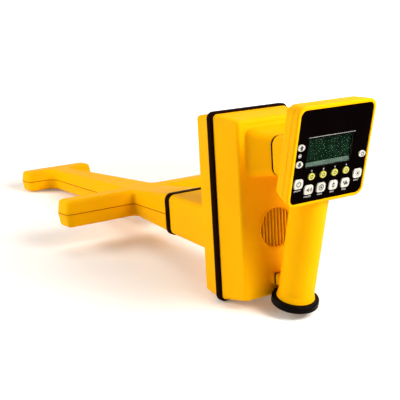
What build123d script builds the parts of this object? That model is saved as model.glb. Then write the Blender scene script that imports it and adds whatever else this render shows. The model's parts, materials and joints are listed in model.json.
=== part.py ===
from build123d import *
from math import asin, atan2, cos, degrees, hypot, radians, sin, tan
import os

# A hand-held receiver that traces buried cables and pipes: a box with a two-armed antenna wand behind it,
# and in front of it a leaning grip that holds the batteries and carries a display head.
#
# Everything is drawn square to the box, in millimetres: X runs across, +Y along the wand and away from the
# user, +Z up the box to the display end, and the origin is the middle of the rubber band round the box.
# At the end the receiver is laid down as it rests, on the band's lower edge and the wand's tip arm.

# Rubber band round the box
BAND_WIDTH = 109.8
BAND_HEIGHT = 217.2
BAND_DEPTH = 9.7
BAND_CORNER = 7.8
BAND_ROUND = 2.2
BAND_PROUD = 2.8

# Box shells
WALL = 3.0
FRONT_DEPTH = 43.7
FRONT_DRAW_X = 3.9
FRONT_DRAW_Z = 5.3
REAR_DEPTH = 32.7
REAR_DRAW_X = 3.0
REAR_DRAW_Z = 3.1
EDGE_ROUND = 4.0
LEAST_ROUND = 0.8

# Screws: machine screws in the shells, small screws in the boards and the head
SCREW_R = 2.0
SCREW_HEAD_R = 3.6
SCREW_HEAD = 2.6
SMALL_SCREW_R = 1.5
SMALL_HEAD_R = 2.7
SMALL_HEAD = 1.9
DRIVE_SHARE = 0.55
HEX_SIDES = 6
HEAD_CLEAR = 0.4
POST_WALL = 3.2
BOX_SCREW_INSET_X = 13.9
BOX_SCREW_INSET_Z = 15.6
BOX_SCREW_MID_Z = 12.0
BOX_SCREW_SINK = 6.0
BOX_SCREW_LENGTH = 36.0
PILOT_DEPTH = 14.0

# Clearances: faces that are fixed together touch, round fits and running pieces have these
FIT = 0.05
LOOSE = 0.3

# Wand socket on the rear shell, and the seal at its end
SOCKET_END = 126.8
SOCKET_WIDTH = 67.0
SOCKET_HEIGHT = 51.0
SOCKET_CORNER = 8.0
SOCKET_ROOT_WIDTH = 92.0
SOCKET_ROOT_HEIGHT = 53.0
END_WALL = 4.0
WAND_SEAL = 9.4
SEAL_PROUD = 1.2
SOCKET_SCREW_X = 19.0
SOCKET_SCREW_Z = 13.0
SOCKET_SCREW_LENGTH = 18.4

# Wand: two half shells that meet on a level seam, with a long middle arm and a short tip arm
SEAM_DROP = 30.0
MID_ARM_Y = 245.0
TIP_ARM_Y = 518.0
ARM_BREADTH = 34.6
MID_ARM_REACH = 125.5
TIP_ARM_REACH = 55.6
SPINE_ROOT = 66.4
SPINE_MID = 53.0
SPINE_TIP = 30.0
ROOT_HALF = 25.0
MID_HALF = 17.9
TIP_HALF = 15.1
ARM_END_ROUND = 9.0
MID_ROOT_ROUND = 5.0
TIP_ROOT_ROUND = 16.0
WAND_DRAFT = 9.0
WAND_ROUND = 5.0
WAND_WALL = 3.0
ROOT_WALL = 6.0
SEAM_GROOVE = 0.8
WAND_SCREW_SEAT = 8.0
WAND_SCREW_LENGTH = 16.0
ROOT_SCREW = (23.0, 168.0)
SPINE_SCREW = (11.0, 395.0)
MID_SCREW_X = 109.0
TIP_SCREW_X = 42.0

# Antenna rods and windings in the arms
ROD_R = 5.0
MID_ROD = 190.0
TIP_ROD = 70.0
WINDING_R = 8.0
MID_WINDING = 55.0
MID_WINDING_GAP = 30.0
TIP_WINDING = 36.0
CRADLE = 3.0
CRADLE_BREADTH = 16.0
MID_CRADLE_X = 85.0
TIP_CRADLE_X = 29.0

# Leads inside the housings
LEAD_R = 2.0
LEAD_HOLE_R = 5.0
LEAD_DROP = 9.0
LEAD_RUN = 40.0
LEAD_BEND = 100.0
LEAD_TURN = 12.0
LEAD_SPREAD = 6.0

# Neck and strut, which carry the grip on the front shell
NECK_RISE = 62.0
NECK_WIDTH = 50.0
NECK_HEIGHT = 44.0
NECK_CORNER = 10.0
NECK_REACH = 70.0
NECK_SPREAD_X = 16.0
NECK_SPREAD_UP = 9.0
NECK_SPREAD_DOWN = 2.0
NECK_ROOT_ROUND = 3.0
NECK_SCREW_X = 15.0
NECK_SCREW_Z = 12.0
NECK_PASS_R = 9.5
STRUT_DROP = 80.0
STRUT_WIDTH = 24.0
STRUT_HEIGHT = 14.0
STRUT_PROUD = 6.3
STRUT_CORNER = 3.0
SEAM_PAD = 3.0
SEAM_INSET = 0.3
GRIP_SCREW_LENGTH = 15.0
STRUT_SCREW_HOLD = 2.5

# Speaker and its grille in the front face
GRILLE_DROP = 23.7
GRILLE_R = 23.0
GRILLE_SINK = 1.0
GRILLE_RIM = 2.0
GRILLE_RIM_PROUD = 0.8
SLOT_COUNT = 10
SLOT_PITCH = 4.5
SLOT_WIDTH = 2.3
SPEAKER_R = 28.5
SPEAKER_SEAL = 1.0
SPEAKER_FLANGE = 1.2
BASKET_DEEP = 9.0
BASKET_WALL = 1.0
MAGNET_R = 14.0
MAGNET_DEEP = 9.0
CONE_WALL = 0.6
CONE_NECK_R = 8.0
CONE_DEEP = 5.5

# Jacks in the right-hand side of the front shell
JACK_Y = 22.0
JACK_SPOT_R = 9.0
JACK_SINK = 0.5
JACK_BOSS = 4.0
EARPHONE_SHARE = 0.525
EARPHONE_BUSH_R = 4.0
EARPHONE_BORE_R = 1.8
ACCESSORY_ABOVE_POST = 23.0
ACCESSORY_BUSH_R = 5.5
ACCESSORY_BORE_R = 3.2
JACK_NUT = 1.8
JACK_NUT_RIM = 2.0
JACK_PROUD = 0.5
JACK_BODY = 15.0
JACK_BODY_RIM = 1.5
JACK_BOTTOM = 2.0

# Main board
BOARD = 1.6
BOARD_Y = 14.0
BOARD_WIDTH = 68.0
BOARD_FOOT_GAP = 16.6
BOARD_HIGH = 30.0
BOARD_SCREW_X = 29.0
BOARD_SCREW_INSET = 7.0
BOARD_SCREW_LENGTH = 7.0
SHIELD_SIZE = (44.0, 26.0)
SHIELD_HEIGHT = 7.0
SHIELD_WALL = 0.6
SHIELD_RISE = 24.0
# Each chip's middle across and up the board, then its width and height
CHIPS = (
    (-17.0, -16.0, 20.0, 20.0),
    (16.0, -12.0, 14.0, 10.0),
    (-18.0, 12.0, 12.0, 10.0),
    (17.0, 9.0, 10.0, 14.0),
)
CHIP_HEIGHT = 2.4
PLUG_WIDTH = 9.0
PLUG_LENGTH = 10.0
PLUG_HEIGHT = 6.0
PLUG_Z = 16.0
DISPLAY_PLUG_Y = -17.0

# Grip: a tube that leans forward, its axis given where it crosses the level of the band's middle
GRIP_CLEAR = 53.2
GRIP_LEAN = 14.5
GRIP_R = 20.0
GRIP_DOWN = 100.6
GRIP_TOP = 45.0
GRIP_LIP = 1.5
GRIP_LIP_HEIGHT = 7.0
BORE_R = 18.0
BORE_TOP = 19.5
WIRE_HOLE_R = 3.5
WIRE_BACK = 8.0

# Batteries: two tiers of three cells in a carrier
CELL_R = 7.1
CELL_LENGTH = 49.0
CELL_NUB_R = 2.6
CELL_NUB = 1.2
CELL_RING_R = 8.9
CELLS_A_TIER = 3
TIERS = 2
CELL_END_GAP = 0.3
CARRIER_R = 17.2
CARRIER_PLATE = 2.0
CARRIER_CORE_R = 1.6
CARRIER_RIB_R = 15.5
CARRIER_RIB_SIZE = 3.0
STUD_R = 3.0
STUD = 1.0
TERMINAL = 1.6
TERMINAL_R = 17.6

# Battery cap: unscrews downward, with a contact plate that swivels in it
CAP_R = 26.6
CAP_HEIGHT = 8.2
CAP_ROUND = 1.5
CAP_FLOOR = 3.0
PLUG_R = 17.4
PLUG_LONG = 7.1
PLUG_BORE_R = 14.0
SEAL_RING_R = 1.2
SEAL_GROOVE = 2.6
CAP_BOSS_R = 6.0
CAP_BOSS_SINK = 2.0
PLATE_R = 12.5
PLATE = 1.0
PIVOT_R = 2.5

# Display head: bezel in front, rear tray made with the grip
PANEL_WIDTH = 98.0
PANEL_HEIGHT = 100.6
PANEL_CORNER = 7.0
PANEL_RISE = 76.9
PANEL_STANDOFF = 22.4
OVERLAY = 0.8
RIM_WIDTH = 4.0
RIM_PROUD = 1.0
RIM_ROUND = 1.8
HEAD_DEPTH = 26.0
HEAD_DRAW = 5.0
HEAD_BACK_ROUND = 6.0
HEAD_SEAL = 0.6
HEAD_SEAL_INSET = 0.8
BEZEL_DEPTH = 10.0
BEZEL_WALL = 2.5
HEAD_WALL = 2.5
HEAD_SCREW_INSET_X = 5.0
HEAD_SCREW_INSET_Y = 7.8
HEAD_POST_R = 3.2
HEAD_SCREW_SINK = 3.0
HEAD_SCREW_LENGTH = 16.0

# Display window, module, board and key mat, placed from the middle of the panel
WINDOW_SIDES = 35.5
WINDOW_HEIGHT = 31.6
WINDOW_X = -2.6
WINDOW_Y = 3.1
WINDOW_CORNER = 1.0
PANE = 1.2
PANE_LAP = 1.5
MODULE_RIM_X = 2.7
MODULE_RIM_Y = 3.0
DISPLAY_BOARD_INSET_X = 2.0
DISPLAY_BOARD_INSET_Y = 4.3
DISPLAY_BOARD_CORNER = 6.0
DISPLAY_BOARD_DEEP = 11.2
KEY_MAT = 1.2
KEY_MAT_INSET_X = 3.0
KEY_MAT_INSET_Y = 11.3
DOME_R = 2.8
DOME = 1.0

# Keys
KEY_PROUD = 1.2
KEY_GAP = 0.35
KEY_FLANGE = 1.0
KEY_FLANGE_HEIGHT = 1.2
KEY_STEM_R = 2.4
KEY_TRAVEL = 1.0
KEY_ROUND = 0.5
LARGE_KEY = (11.6, 10.2)
LARGE_KEY_CORNER = 3.0
LARGE_ROW_SIDES = 47.9
LARGE_KEY_Y = -36.2
OUTER_KEY_INSET = 8.6
OUTER_KEY_Y = -28.0
SOFT_KEY = (8.4, 7.4)
SOFT_ROW_SIDES = 50.9
SOFT_KEY_Y = -22.0
ROW_X = -0.6
ARROW_KEY = (9.2, 7.0)
ARROW_KEY_INSET = 6.0
UP_KEY_Y = 11.2
DOWN_KEY_Y = -6.6
SELECT_KEY_INSET = 6.3
SELECT_KEY_Y = -6.4

# Worked out from the sizes above
HALF_BAND = BAND_DEPTH / 2
SHELL = (BAND_WIDTH - 2 * BAND_PROUD, BAND_HEIGHT - 2 * BAND_PROUD)
SHELL_CORNER = BAND_CORNER - BAND_PROUD
FRONT_FACE = (SHELL[0] - 2 * FRONT_DRAW_X, SHELL[1] - 2 * FRONT_DRAW_Z)
REAR_FACE = (SHELL[0] - 2 * REAR_DRAW_X, SHELL[1] - 2 * REAR_DRAW_Z)
INNER_CORNER = max(SHELL_CORNER - WALL, LEAST_ROUND)
FRONT_INSIDE = FRONT_DEPTH - WALL
REAR_INSIDE = REAR_DEPTH - WALL
SOCKET = (SOCKET_WIDTH, SOCKET_HEIGHT)
SOCKET_ROOT = (SOCKET_ROOT_WIDTH, SOCKET_ROOT_HEIGHT)
NECK_END = (NECK_WIDTH, NECK_HEIGHT)
NECK_ROOT = (NECK_WIDTH + 2 * NECK_SPREAD_X, NECK_HEIGHT + NECK_SPREAD_UP + NECK_SPREAD_DOWN)
NECK_FALL = (NECK_SPREAD_UP - NECK_SPREAD_DOWN) / 2
STRUT = (STRUT_WIDTH, STRUT_HEIGHT)
SEAM_Z = -SEAM_DROP
LEAD_Z = SEAM_Z - LEAD_DROP
WAND_START = SOCKET_END + WAND_SEAL
MID_NEAR = MID_ARM_Y - ARM_BREADTH / 2
MID_FAR = MID_ARM_Y + ARM_BREADTH / 2
TIP_NEAR = TIP_ARM_Y - ARM_BREADTH / 2
TIP_FAR = TIP_ARM_Y + ARM_BREADTH / 2
POST_R = SCREW_R + POST_WALL
SCREW = (SCREW_R, SCREW_HEAD_R, SCREW_HEAD)
SMALL_SCREW = (SMALL_SCREW_R, SMALL_HEAD_R, SMALL_HEAD)
HEAD_SIZE = (PANEL_WIDTH + 2 * RIM_WIDTH, PANEL_HEIGHT + 2 * RIM_WIDTH)
HEAD_CORNER = PANEL_CORNER + RIM_WIDTH
BEZEL_INSIDE = OVERLAY + BEZEL_WALL
BOARD_BACK = BOARD_Y - BOARD
DISPLAY_BOARD_BACK = DISPLAY_BOARD_DEEP + BOARD
TRAY_FRONT = BEZEL_DEPTH + HEAD_SEAL - RIM_PROUD
HEAD_BACK = HEAD_DEPTH - RIM_PROUD
BOX_SCREW_X = BAND_WIDTH / 2 - BOX_SCREW_INSET_X
BOX_SCREW_Z = BAND_HEIGHT / 2 - BOX_SCREW_INSET_Z
ACCESSORY_DROP = BOX_SCREW_Z - ACCESSORY_ABOVE_POST
EARPHONE_DROP = GRILLE_DROP + EARPHONE_SHARE * (ACCESSORY_DROP - GRILLE_DROP)
BOARD_LOW = BOARD_FOOT_GAP - BAND_HEIGHT / 2
SHIELD_Z = BOARD_LOW + SHIELD_RISE
STRUT_REACH = FRONT_DEPTH + STRUT_PROUD
STRUT_SCREW_LENGTH = STRUT_REACH + SEAM_PAD + STRUT_SCREW_HOLD - FRONT_INSIDE
GRIP_STANDOFF = FRONT_DEPTH + GRIP_CLEAR
HEAD_SCREW_X = PANEL_WIDTH / 2 - HEAD_SCREW_INSET_X
HEAD_SCREW_Y = PANEL_HEIGHT / 2 - HEAD_SCREW_INSET_Y
DISPLAY_BOARD = (PANEL_WIDTH - 2 * DISPLAY_BOARD_INSET_X, PANEL_HEIGHT - 2 * DISPLAY_BOARD_INSET_Y)
WINDOW_WIDTH = PANEL_WIDTH - WINDOW_SIDES
KEY_MAT_SIZE = (PANEL_WIDTH - 2 * KEY_MAT_INSET_X, PANEL_HEIGHT - 2 * KEY_MAT_INSET_Y)
OUTER_KEY_X = PANEL_WIDTH / 2 - OUTER_KEY_INSET
ARROW_KEY_X = ARROW_KEY_INSET - PANEL_WIDTH / 2
SELECT_KEY_X = PANEL_WIDTH / 2 - SELECT_KEY_INSET

# The grip's own frame has its z up the tube and its y towards the box. The panel's has its z out to the user.
lean = radians(GRIP_LEAN)
GRIP = Plane(origin=(0, -GRIP_STANDOFF, 0), x_dir=(1, 0, 0), z_dir=(0, -sin(lean), cos(lean)))
PANEL = Plane(
    origin=GRIP.from_local_coords((0, -PANEL_STANDOFF, PANEL_RISE)), x_dir=(1, 0, 0), z_dir=-GRIP.y_dir
)

# Places where things repeat
both_sides = (-1, 1)
box_screw_spots = [
    (side * BOX_SCREW_X, z) for side in both_sides for z in (-BOX_SCREW_Z, BOX_SCREW_MID_Z, BOX_SCREW_Z)
]
socket_screw_spots = [
    (side * SOCKET_SCREW_X, SEAM_Z + up * SOCKET_SCREW_Z) for side in both_sides for up in both_sides
]
neck_screw_spots = [
    (side * NECK_SCREW_X, NECK_RISE + up * NECK_SCREW_Z) for side in both_sides for up in both_sides
]
strut_screw_spot = (0, -STRUT_DROP)
board_screw_spots = [
    (side * BOARD_SCREW_X, z)
    for side in both_sides
    for z in (BOARD_LOW + BOARD_SCREW_INSET, BOARD_HIGH - BOARD_SCREW_INSET)
]
wand_screw_spots = [
    (side * x, y)
    for side in both_sides
    for x, y in (ROOT_SCREW, SPINE_SCREW, (MID_SCREW_X, MID_ARM_Y), (TIP_SCREW_X, TIP_ARM_Y))
]
head_screw_spots = [(side * HEAD_SCREW_X, up * HEAD_SCREW_Y) for side in both_sides for up in both_sides]


def across(y):
    """Plane square to the wand at y, with X to its right, Z up and its normal towards the user."""
    return Plane(origin=(0, y, 0), x_dir=(1, 0, 0), z_dir=(0, -1, 0))


def away(y):
    """Plane square to the wand at y, with its normal along the wand."""
    return Plane(origin=(0, y, 0), x_dir=(-1, 0, 0), z_dir=(0, 1, 0))


def smaller(size, by):
    """Width and height drawn in by the same amount on every side."""
    return (size[0] - 2 * by, size[1] - 2 * by)


def rounded_box(start, start_size, depth, end_size, corner, rise=0.0, fall=0.0, end_round=0.0, mode=Mode.ADD):
    """Tapered box with rounded corners from a plane along its normal, into the part being built.

    A negative depth runs against the normal. The far face's middle lies lower by fall, and its edges are
    rounded by end_round.
    """
    way = 1 if depth > 0 else -1
    draw_x = (start_size[0] - end_size[0]) / 2
    draw_y = (start_size[1] - end_size[1]) / 2 + fall
    box = Solid.make_wedge(
        start_size[0], abs(depth), start_size[1], draw_x, draw_y, draw_x + end_size[0], draw_y + end_size[1]
    )
    box = Pos(-start_size[0] / 2, 0, -start_size[1] / 2) * box
    box = box.fillet(corner, box.edges().filter_by(lambda edge: abs(edge.tangent_at(0.5).Y) > 0.5))
    if end_round:
        box = box.fillet(end_round, box.faces().sort_by(Axis.Y)[-1].edges())
    place = Plane(origin=start.from_local_coords((0, rise, 0)), x_dir=start.x_dir * way, z_dir=-start.y_dir)
    add(place.location * box, mode=mode)


def rods(plane, spots, radius, length, mode=Mode.ADD):
    """Round posts from a plane along its normal."""
    with BuildSketch(plane) as rounds:
        with Locations(*spots):
            Circle(radius)
    extrude(rounds.sketch, amount=length, mode=mode)


def holes(plane, spots, radius, depth):
    """Round holes cut from a plane along its normal."""
    rods(plane, spots, radius, depth, mode=Mode.SUBTRACT)


def blocks(plane, spots, width, height, depth, mode=Mode.ADD):
    """Rectangular blocks from a plane along its normal."""
    with BuildSketch(plane) as rectangles:
        with Locations(*spots):
            Rectangle(width, height)
    extrude(rectangles.sketch, amount=depth, mode=mode)


def pockets(plane, spots, width, height, depth):
    """Rectangular pockets cut from a plane along its normal."""
    blocks(plane, spots, width, height, depth, mode=Mode.SUBTRACT)


def circles(built, radius):
    """Circular edges of this radius on the part being built."""
    return built.edges().filter_by(GeomType.CIRCLE).filter_by(lambda edge: abs(edge.radius - radius) < FIT)


def screws(seat, spots, length, radius, head_radius, head_height):
    """Cap screws with their shanks along the seat's normal and a six-sided drive in each head."""
    rods(seat, spots, head_radius, -head_height)
    rods(seat, spots, radius, length)
    with BuildSketch(seat.offset(-head_height)) as drives:
        with Locations(*spots):
            RegularPolygon(head_radius * DRIVE_SHARE, HEX_SIDES)
    extrude(drives.sketch, amount=head_height / 2, mode=Mode.SUBTRACT)


def lead(points, turns):
    """Sweep a round lead along straight runs joined by arcs."""
    with BuildLine() as route:
        FilletPolyline(*points, radius=turns)
    with BuildSketch(Plane(origin=route.line @ 0, z_dir=route.line % 0)) as section:
        Circle(LEAD_R)
    sweep(section.sketch, path=route.line)


def head_size(depth):
    """Width and height of the head this far behind the front of its rim."""
    return smaller(HEAD_SIZE, HEAD_DRAW * depth / HEAD_DEPTH)


def behind_panel(z, depth):
    """Where along Y a surface this deep behind the panel lies at height z."""
    return PANEL.origin.Y + (depth - sin(lean) * (z - PANEL.origin.Z)) / cos(lean)


def front_half_width(y):
    """Half the front shell's outer width this far in front of the band's middle."""
    share = (y - HALF_BAND) / (FRONT_DEPTH - HALF_BAND)
    return SHELL[0] / 2 - FRONT_DRAW_X * share


JACK_SEAT = front_half_width(JACK_Y + JACK_SPOT_R) - JACK_SINK
JACK_MOUTH = JACK_SEAT + JACK_NUT + JACK_PROUD
JACK_BORE_DEEP = JACK_NUT + JACK_PROUD + JACK_BOSS + JACK_BODY - JACK_BOTTOM
JACKS = (
    ("earphone_jack", EARPHONE_DROP, EARPHONE_BUSH_R, EARPHONE_BORE_R),
    ("accessory_jack", ACCESSORY_DROP, ACCESSORY_BUSH_R, ACCESSORY_BORE_R),
)


# Key outlines, which the keys share with their holes
def large_outline(grow=0.0):
    """Rounded square of a large key."""
    RectangleRounded(*smaller(LARGE_KEY, -grow), LARGE_KEY_CORNER + grow)


def soft_outline(grow=0.0):
    """Oval of a soft key under the display."""
    Ellipse(SOFT_KEY[0] / 2 + grow, SOFT_KEY[1] / 2 + grow)


def arrow_outline(grow=0.0):
    """Oval of a key beside the display."""
    Ellipse(ARROW_KEY[0] / 2 + grow, ARROW_KEY[1] / 2 + grow)


LARGE_NAMES = ("volume_key", "mode_key", "gain_key", "frequency_key")
ROW_GAPS = len(LARGE_NAMES) - 1
LARGE_KEY_PITCH = (PANEL_WIDTH - LARGE_ROW_SIDES) / ROW_GAPS
SOFT_KEY_PITCH = (PANEL_WIDTH - SOFT_ROW_SIDES) / ROW_GAPS
KEYS = [
    ("power_key", (-OUTER_KEY_X, OUTER_KEY_Y), large_outline),
    ("light_key", (OUTER_KEY_X, OUTER_KEY_Y), large_outline),
    ("up_key", (ARROW_KEY_X, UP_KEY_Y), arrow_outline),
    ("down_key", (ARROW_KEY_X, DOWN_KEY_Y), arrow_outline),
    ("select_key", (SELECT_KEY_X, SELECT_KEY_Y), arrow_outline),
]
for place, key_name in enumerate(LARGE_NAMES):
    step = place - ROW_GAPS / 2
    KEYS.append((key_name, (ROW_X + step * LARGE_KEY_PITCH, LARGE_KEY_Y), large_outline))
    KEYS.append((f"soft_key_{place + 1}", (ROW_X + step * SOFT_KEY_PITCH, SOFT_KEY_Y), soft_outline))


def key_holes(plane, depth):
    """Cut the holes that the keys pass through."""
    with BuildSketch(plane) as openings:
        for name, spot, outline in KEYS:
            with Locations(spot):
                outline(KEY_GAP)
    extrude(openings.sketch, amount=-depth, mode=Mode.SUBTRACT)


pieces = {}


def finish(name, built):
    """Label a finished piece and keep it for laying down."""
    built.part.label = name
    pieces[name] = built.part


# Wand shells: one drafted half, hollowed, then mirrored below the seam


def wand_plan(inset):
    """Outline of the wand on its seam, drawn in all round by the inset and run on past its root."""
    spread = (SPINE_ROOT - SPINE_MID) / 2 / (MID_NEAR - WAND_START)
    right = [
        (SPINE_ROOT / 2 + spread * ARM_BREADTH, WAND_START - ARM_BREADTH),
        (SPINE_MID / 2, MID_NEAR),
        (MID_ARM_REACH, MID_NEAR),
        (MID_ARM_REACH, MID_FAR),
        (SPINE_MID / 2, MID_FAR),
        (SPINE_TIP / 2, TIP_NEAR),
        (TIP_ARM_REACH, TIP_NEAR),
        (TIP_ARM_REACH, TIP_FAR),
    ]
    mid_rounds = [MID_ROOT_ROUND, ARM_END_ROUND, ARM_END_ROUND, MID_ROOT_ROUND]
    rounds = [0, *mid_rounds, TIP_ROOT_ROUND, ARM_END_ROUND, ARM_END_ROUND]
    left = [(-x, y) for x, y in reversed(right)]
    with BuildSketch(Plane.XY.offset(SEAM_Z)) as plan:
        with BuildLine():
            FilletPolyline(*right, *left, radius=rounds + rounds[::-1], close=True)
        make_face()
        if inset:
            offset(amount=-inset, kind=Kind.INTERSECTION, mode=Mode.REPLACE)
    return plan.sketch


def wand_roof(inset):
    """Side view of what lies above the wand's top, lowered by the inset."""
    fall = (ROOT_HALF - MID_HALF) / (MID_NEAR - WAND_START)
    rise = (MID_HALF - TIP_HALF) / (TIP_FAR - MID_NEAR)
    start = WAND_START - ARM_BREADTH
    end = TIP_FAR + ARM_BREADTH
    ceiling = SEAM_Z + 2 * ROOT_HALF
    with BuildSketch(Plane.YZ) as side:
        with BuildLine():
            Polyline(
                (start, SEAM_Z + ROOT_HALF + fall * ARM_BREADTH - inset),
                (MID_NEAR, SEAM_Z + MID_HALF - inset),
                (end, SEAM_Z + TIP_HALF - rise * ARM_BREADTH - inset),
                (end, ceiling),
                (start, ceiling),
                close=True,
            )
        make_face()
    return side.sketch


def wand_half(inset):
    """Upper half of the wand as a solid, drawn in by the inset, with a square root face for the seal."""
    with BuildPart() as half:
        extrude(wand_plan(inset), amount=ROOT_HALF + WALL, taper=WAND_DRAFT)
        extrude(wand_roof(inset), amount=MID_ARM_REACH + WALL, both=True, mode=Mode.SUBTRACT)
        split(bisect_by=away(WAND_START), keep=Keep.TOP)
        if not inset:
            roof = half.faces().filter_by(lambda face: face.normal_at().Z > cos(radians(WAND_DRAFT)))
            near, far = roof[0].edges(), roof[1].edges()
            crest = near + far
            ridge = [edge for edge in near if any(edge.is_same(other) for other in far)]
            rim = [edge for edge in crest if edge.center().Y > WAND_START + FIT]
            rim = [edge for edge in rim if not any(edge.is_same(other) for other in ridge)]
            fillet(rim, WAND_ROUND)
            seam = half.faces().sort_by(Axis.Z)[0].edges()
            chamfer([edge for edge in seam if edge.center().Y > WAND_START + FIT], SEAM_GROOVE)
    return half.part


wand_outside = wand_half(0)
wand_inside = wand_half(WAND_WALL)
seam = Plane.XY.offset(SEAM_Z)
wand_screw_seat = seam.offset(-WAND_SCREW_SEAT)

# What is cut from a hollow stays standing in its shell, as posts, root wall and cradles
with BuildPart() as wand_top_hollow:
    add(wand_inside)
    holes(seam, wand_screw_spots, POST_R, ROOT_HALF)
    pockets(seam, [(0, WAND_START + ROOT_WALL / 2)], SPINE_ROOT, ROOT_WALL, ROOT_HALF)

with BuildPart() as wand_top_shell:
    add(wand_outside)
    add(wand_top_hollow.part, mode=Mode.SUBTRACT)
    holes(seam, wand_screw_spots, SCREW_R + FIT, WAND_SCREW_LENGTH - WAND_SCREW_SEAT + LOOSE)
    holes(away(WAND_START), socket_screw_spots, SCREW_R + FIT, ROOT_WALL)
finish("wand_top_shell", wand_top_shell)

with BuildPart() as wand_bottom_hollow:
    mirror(wand_inside, about=seam)
    holes(seam, wand_screw_spots, SCREW_HEAD_R + HEAD_CLEAR + POST_WALL / 2, -ROOT_HALF)
    pockets(seam, [(0, WAND_START + ROOT_WALL / 2)], SPINE_ROOT, ROOT_WALL, -ROOT_HALF)
    for rod_y, cradle_x in ((MID_ARM_Y, MID_CRADLE_X), (TIP_ARM_Y, TIP_CRADLE_X)):
        cradles = [(side * cradle_x, rod_y) for side in both_sides]
        pockets(seam, cradles, CRADLE, CRADLE_BREADTH, -ROOT_HALF)

with BuildPart() as wand_bottom_shell:
    mirror(wand_outside, about=seam)
    add(wand_bottom_hollow.part, mode=Mode.SUBTRACT)
    for rod_y, rod_length in ((MID_ARM_Y, MID_ROD), (TIP_ARM_Y, TIP_ROD)):
        holes(Plane.YZ.offset(-rod_length / 2), [(rod_y, SEAM_Z)], ROD_R + FIT, rod_length)
    holes(seam, wand_screw_spots, SCREW_R + FIT, -MID_HALF)
    holes(wand_screw_seat, wand_screw_spots, SCREW_HEAD_R + HEAD_CLEAR, -ROOT_HALF)
    holes(away(WAND_START), socket_screw_spots, SCREW_R + FIT, ROOT_WALL)
    holes(away(WAND_START), [(0, LEAD_Z)], LEAD_HOLE_R, ROOT_WALL)
finish("wand_bottom_shell", wand_bottom_shell)

with BuildPart() as wand_screws:
    screws(wand_screw_seat, wand_screw_spots, WAND_SCREW_LENGTH, *SCREW)
finish("wand_screws", wand_screws)

with BuildPart() as wand_gasket:
    with BuildSketch(away(SOCKET_END)):
        with Locations((0, SEAM_Z)):
            RectangleRounded(*smaller(SOCKET, -SEAL_PROUD), SOCKET_CORNER + SEAL_PROUD)
    extrude(amount=WAND_SEAL)
    fillet(wand_gasket.edges().filter_by(Plane.XZ), SEAL_PROUD)
    holes(away(SOCKET_END), socket_screw_spots, SCREW_R + FIT, WAND_SEAL)
    holes(away(SOCKET_END), [(0, LEAD_Z)], LEAD_HOLE_R, WAND_SEAL)
finish("wand_gasket", wand_gasket)

with BuildPart() as socket_screws:
    screws(away(SOCKET_END - END_WALL), socket_screw_spots, SOCKET_SCREW_LENGTH, *SCREW)
finish("socket_screws", socket_screws)

# Antenna rods with their windings
ferrite_rods = (("mid_ferrite_rod", MID_ARM_Y, MID_ROD), ("tip_ferrite_rod", TIP_ARM_Y, TIP_ROD))
for name, rod_y, rod_length in ferrite_rods:
    with BuildPart() as ferrite_rod:
        rods(Plane.YZ.offset(-rod_length / 2), [(rod_y, SEAM_Z)], ROD_R, rod_length)
    finish(name, ferrite_rod)

with BuildPart() as mid_coil:
    for start in (MID_WINDING_GAP / 2, -MID_WINDING_GAP / 2 - MID_WINDING):
        with BuildSketch(Plane.YZ.offset(start)):
            with Locations((MID_ARM_Y, SEAM_Z)):
                Circle(WINDING_R)
                Circle(ROD_R + FIT, mode=Mode.SUBTRACT)
        extrude(amount=MID_WINDING)
finish("mid_coil", mid_coil)

with BuildPart() as tip_coil:
    with BuildSketch(Plane.YZ.offset(-TIP_WINDING / 2)):
        with Locations((TIP_ARM_Y, SEAM_Z)):
            Circle(WINDING_R)
            Circle(ROD_R + FIT, mode=Mode.SUBTRACT)
    extrude(amount=TIP_WINDING)
finish("tip_coil", tip_coil)

with BuildPart() as antenna_lead:
    coil_side = TIP_ARM_Y - WINDING_R - FIT
    lead(
        [
            (0, coil_side, SEAM_Z),
            (0, coil_side - LEAD_RUN, SEAM_Z),
            (0, coil_side - 2 * LEAD_RUN, LEAD_Z),
            (0, PLUG_HEIGHT - BOARD_BACK + FIT, LEAD_Z),
        ],
        [LEAD_BEND, LEAD_BEND],
    )
finish("antenna_lead", antenna_lead)

# Box: rear shell with the wand socket
with BuildPart() as rear_shell:
    rounded_box(away(HALF_BAND), SHELL, REAR_DEPTH - HALF_BAND, REAR_FACE, SHELL_CORNER, end_round=EDGE_ROUND)
    rounded_box(away(REAR_INSIDE), SOCKET_ROOT, SOCKET_END - REAR_INSIDE, SOCKET, SOCKET_CORNER, rise=SEAM_Z)
    rounded_box(
        away(HALF_BAND),
        smaller(SHELL, WALL),
        REAR_INSIDE - HALF_BAND,
        smaller(REAR_FACE, WALL),
        INNER_CORNER,
        mode=Mode.SUBTRACT,
    )
    rounded_box(
        away(REAR_INSIDE - LOOSE),
        smaller(SOCKET_ROOT, WALL),
        SOCKET_END - END_WALL - REAR_INSIDE + LOOSE,
        smaller(SOCKET, WALL),
        SOCKET_CORNER - WALL,
        rise=SEAM_Z,
        mode=Mode.SUBTRACT,
    )
    rods(across(REAR_DEPTH - WALL / 2), box_screw_spots, POST_R, REAR_DEPTH - WALL / 2)
    holes(across(REAR_DEPTH), box_screw_spots, SCREW_HEAD_R + HEAD_CLEAR, BOX_SCREW_SINK)
    holes(across(REAR_DEPTH), box_screw_spots, SCREW_R + FIT, REAR_DEPTH)
    holes(across(SOCKET_END), socket_screw_spots, SCREW_R + FIT, END_WALL)
    holes(across(SOCKET_END), [(0, LEAD_Z)], LEAD_HOLE_R, END_WALL)
finish("rear_shell", rear_shell)

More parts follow.
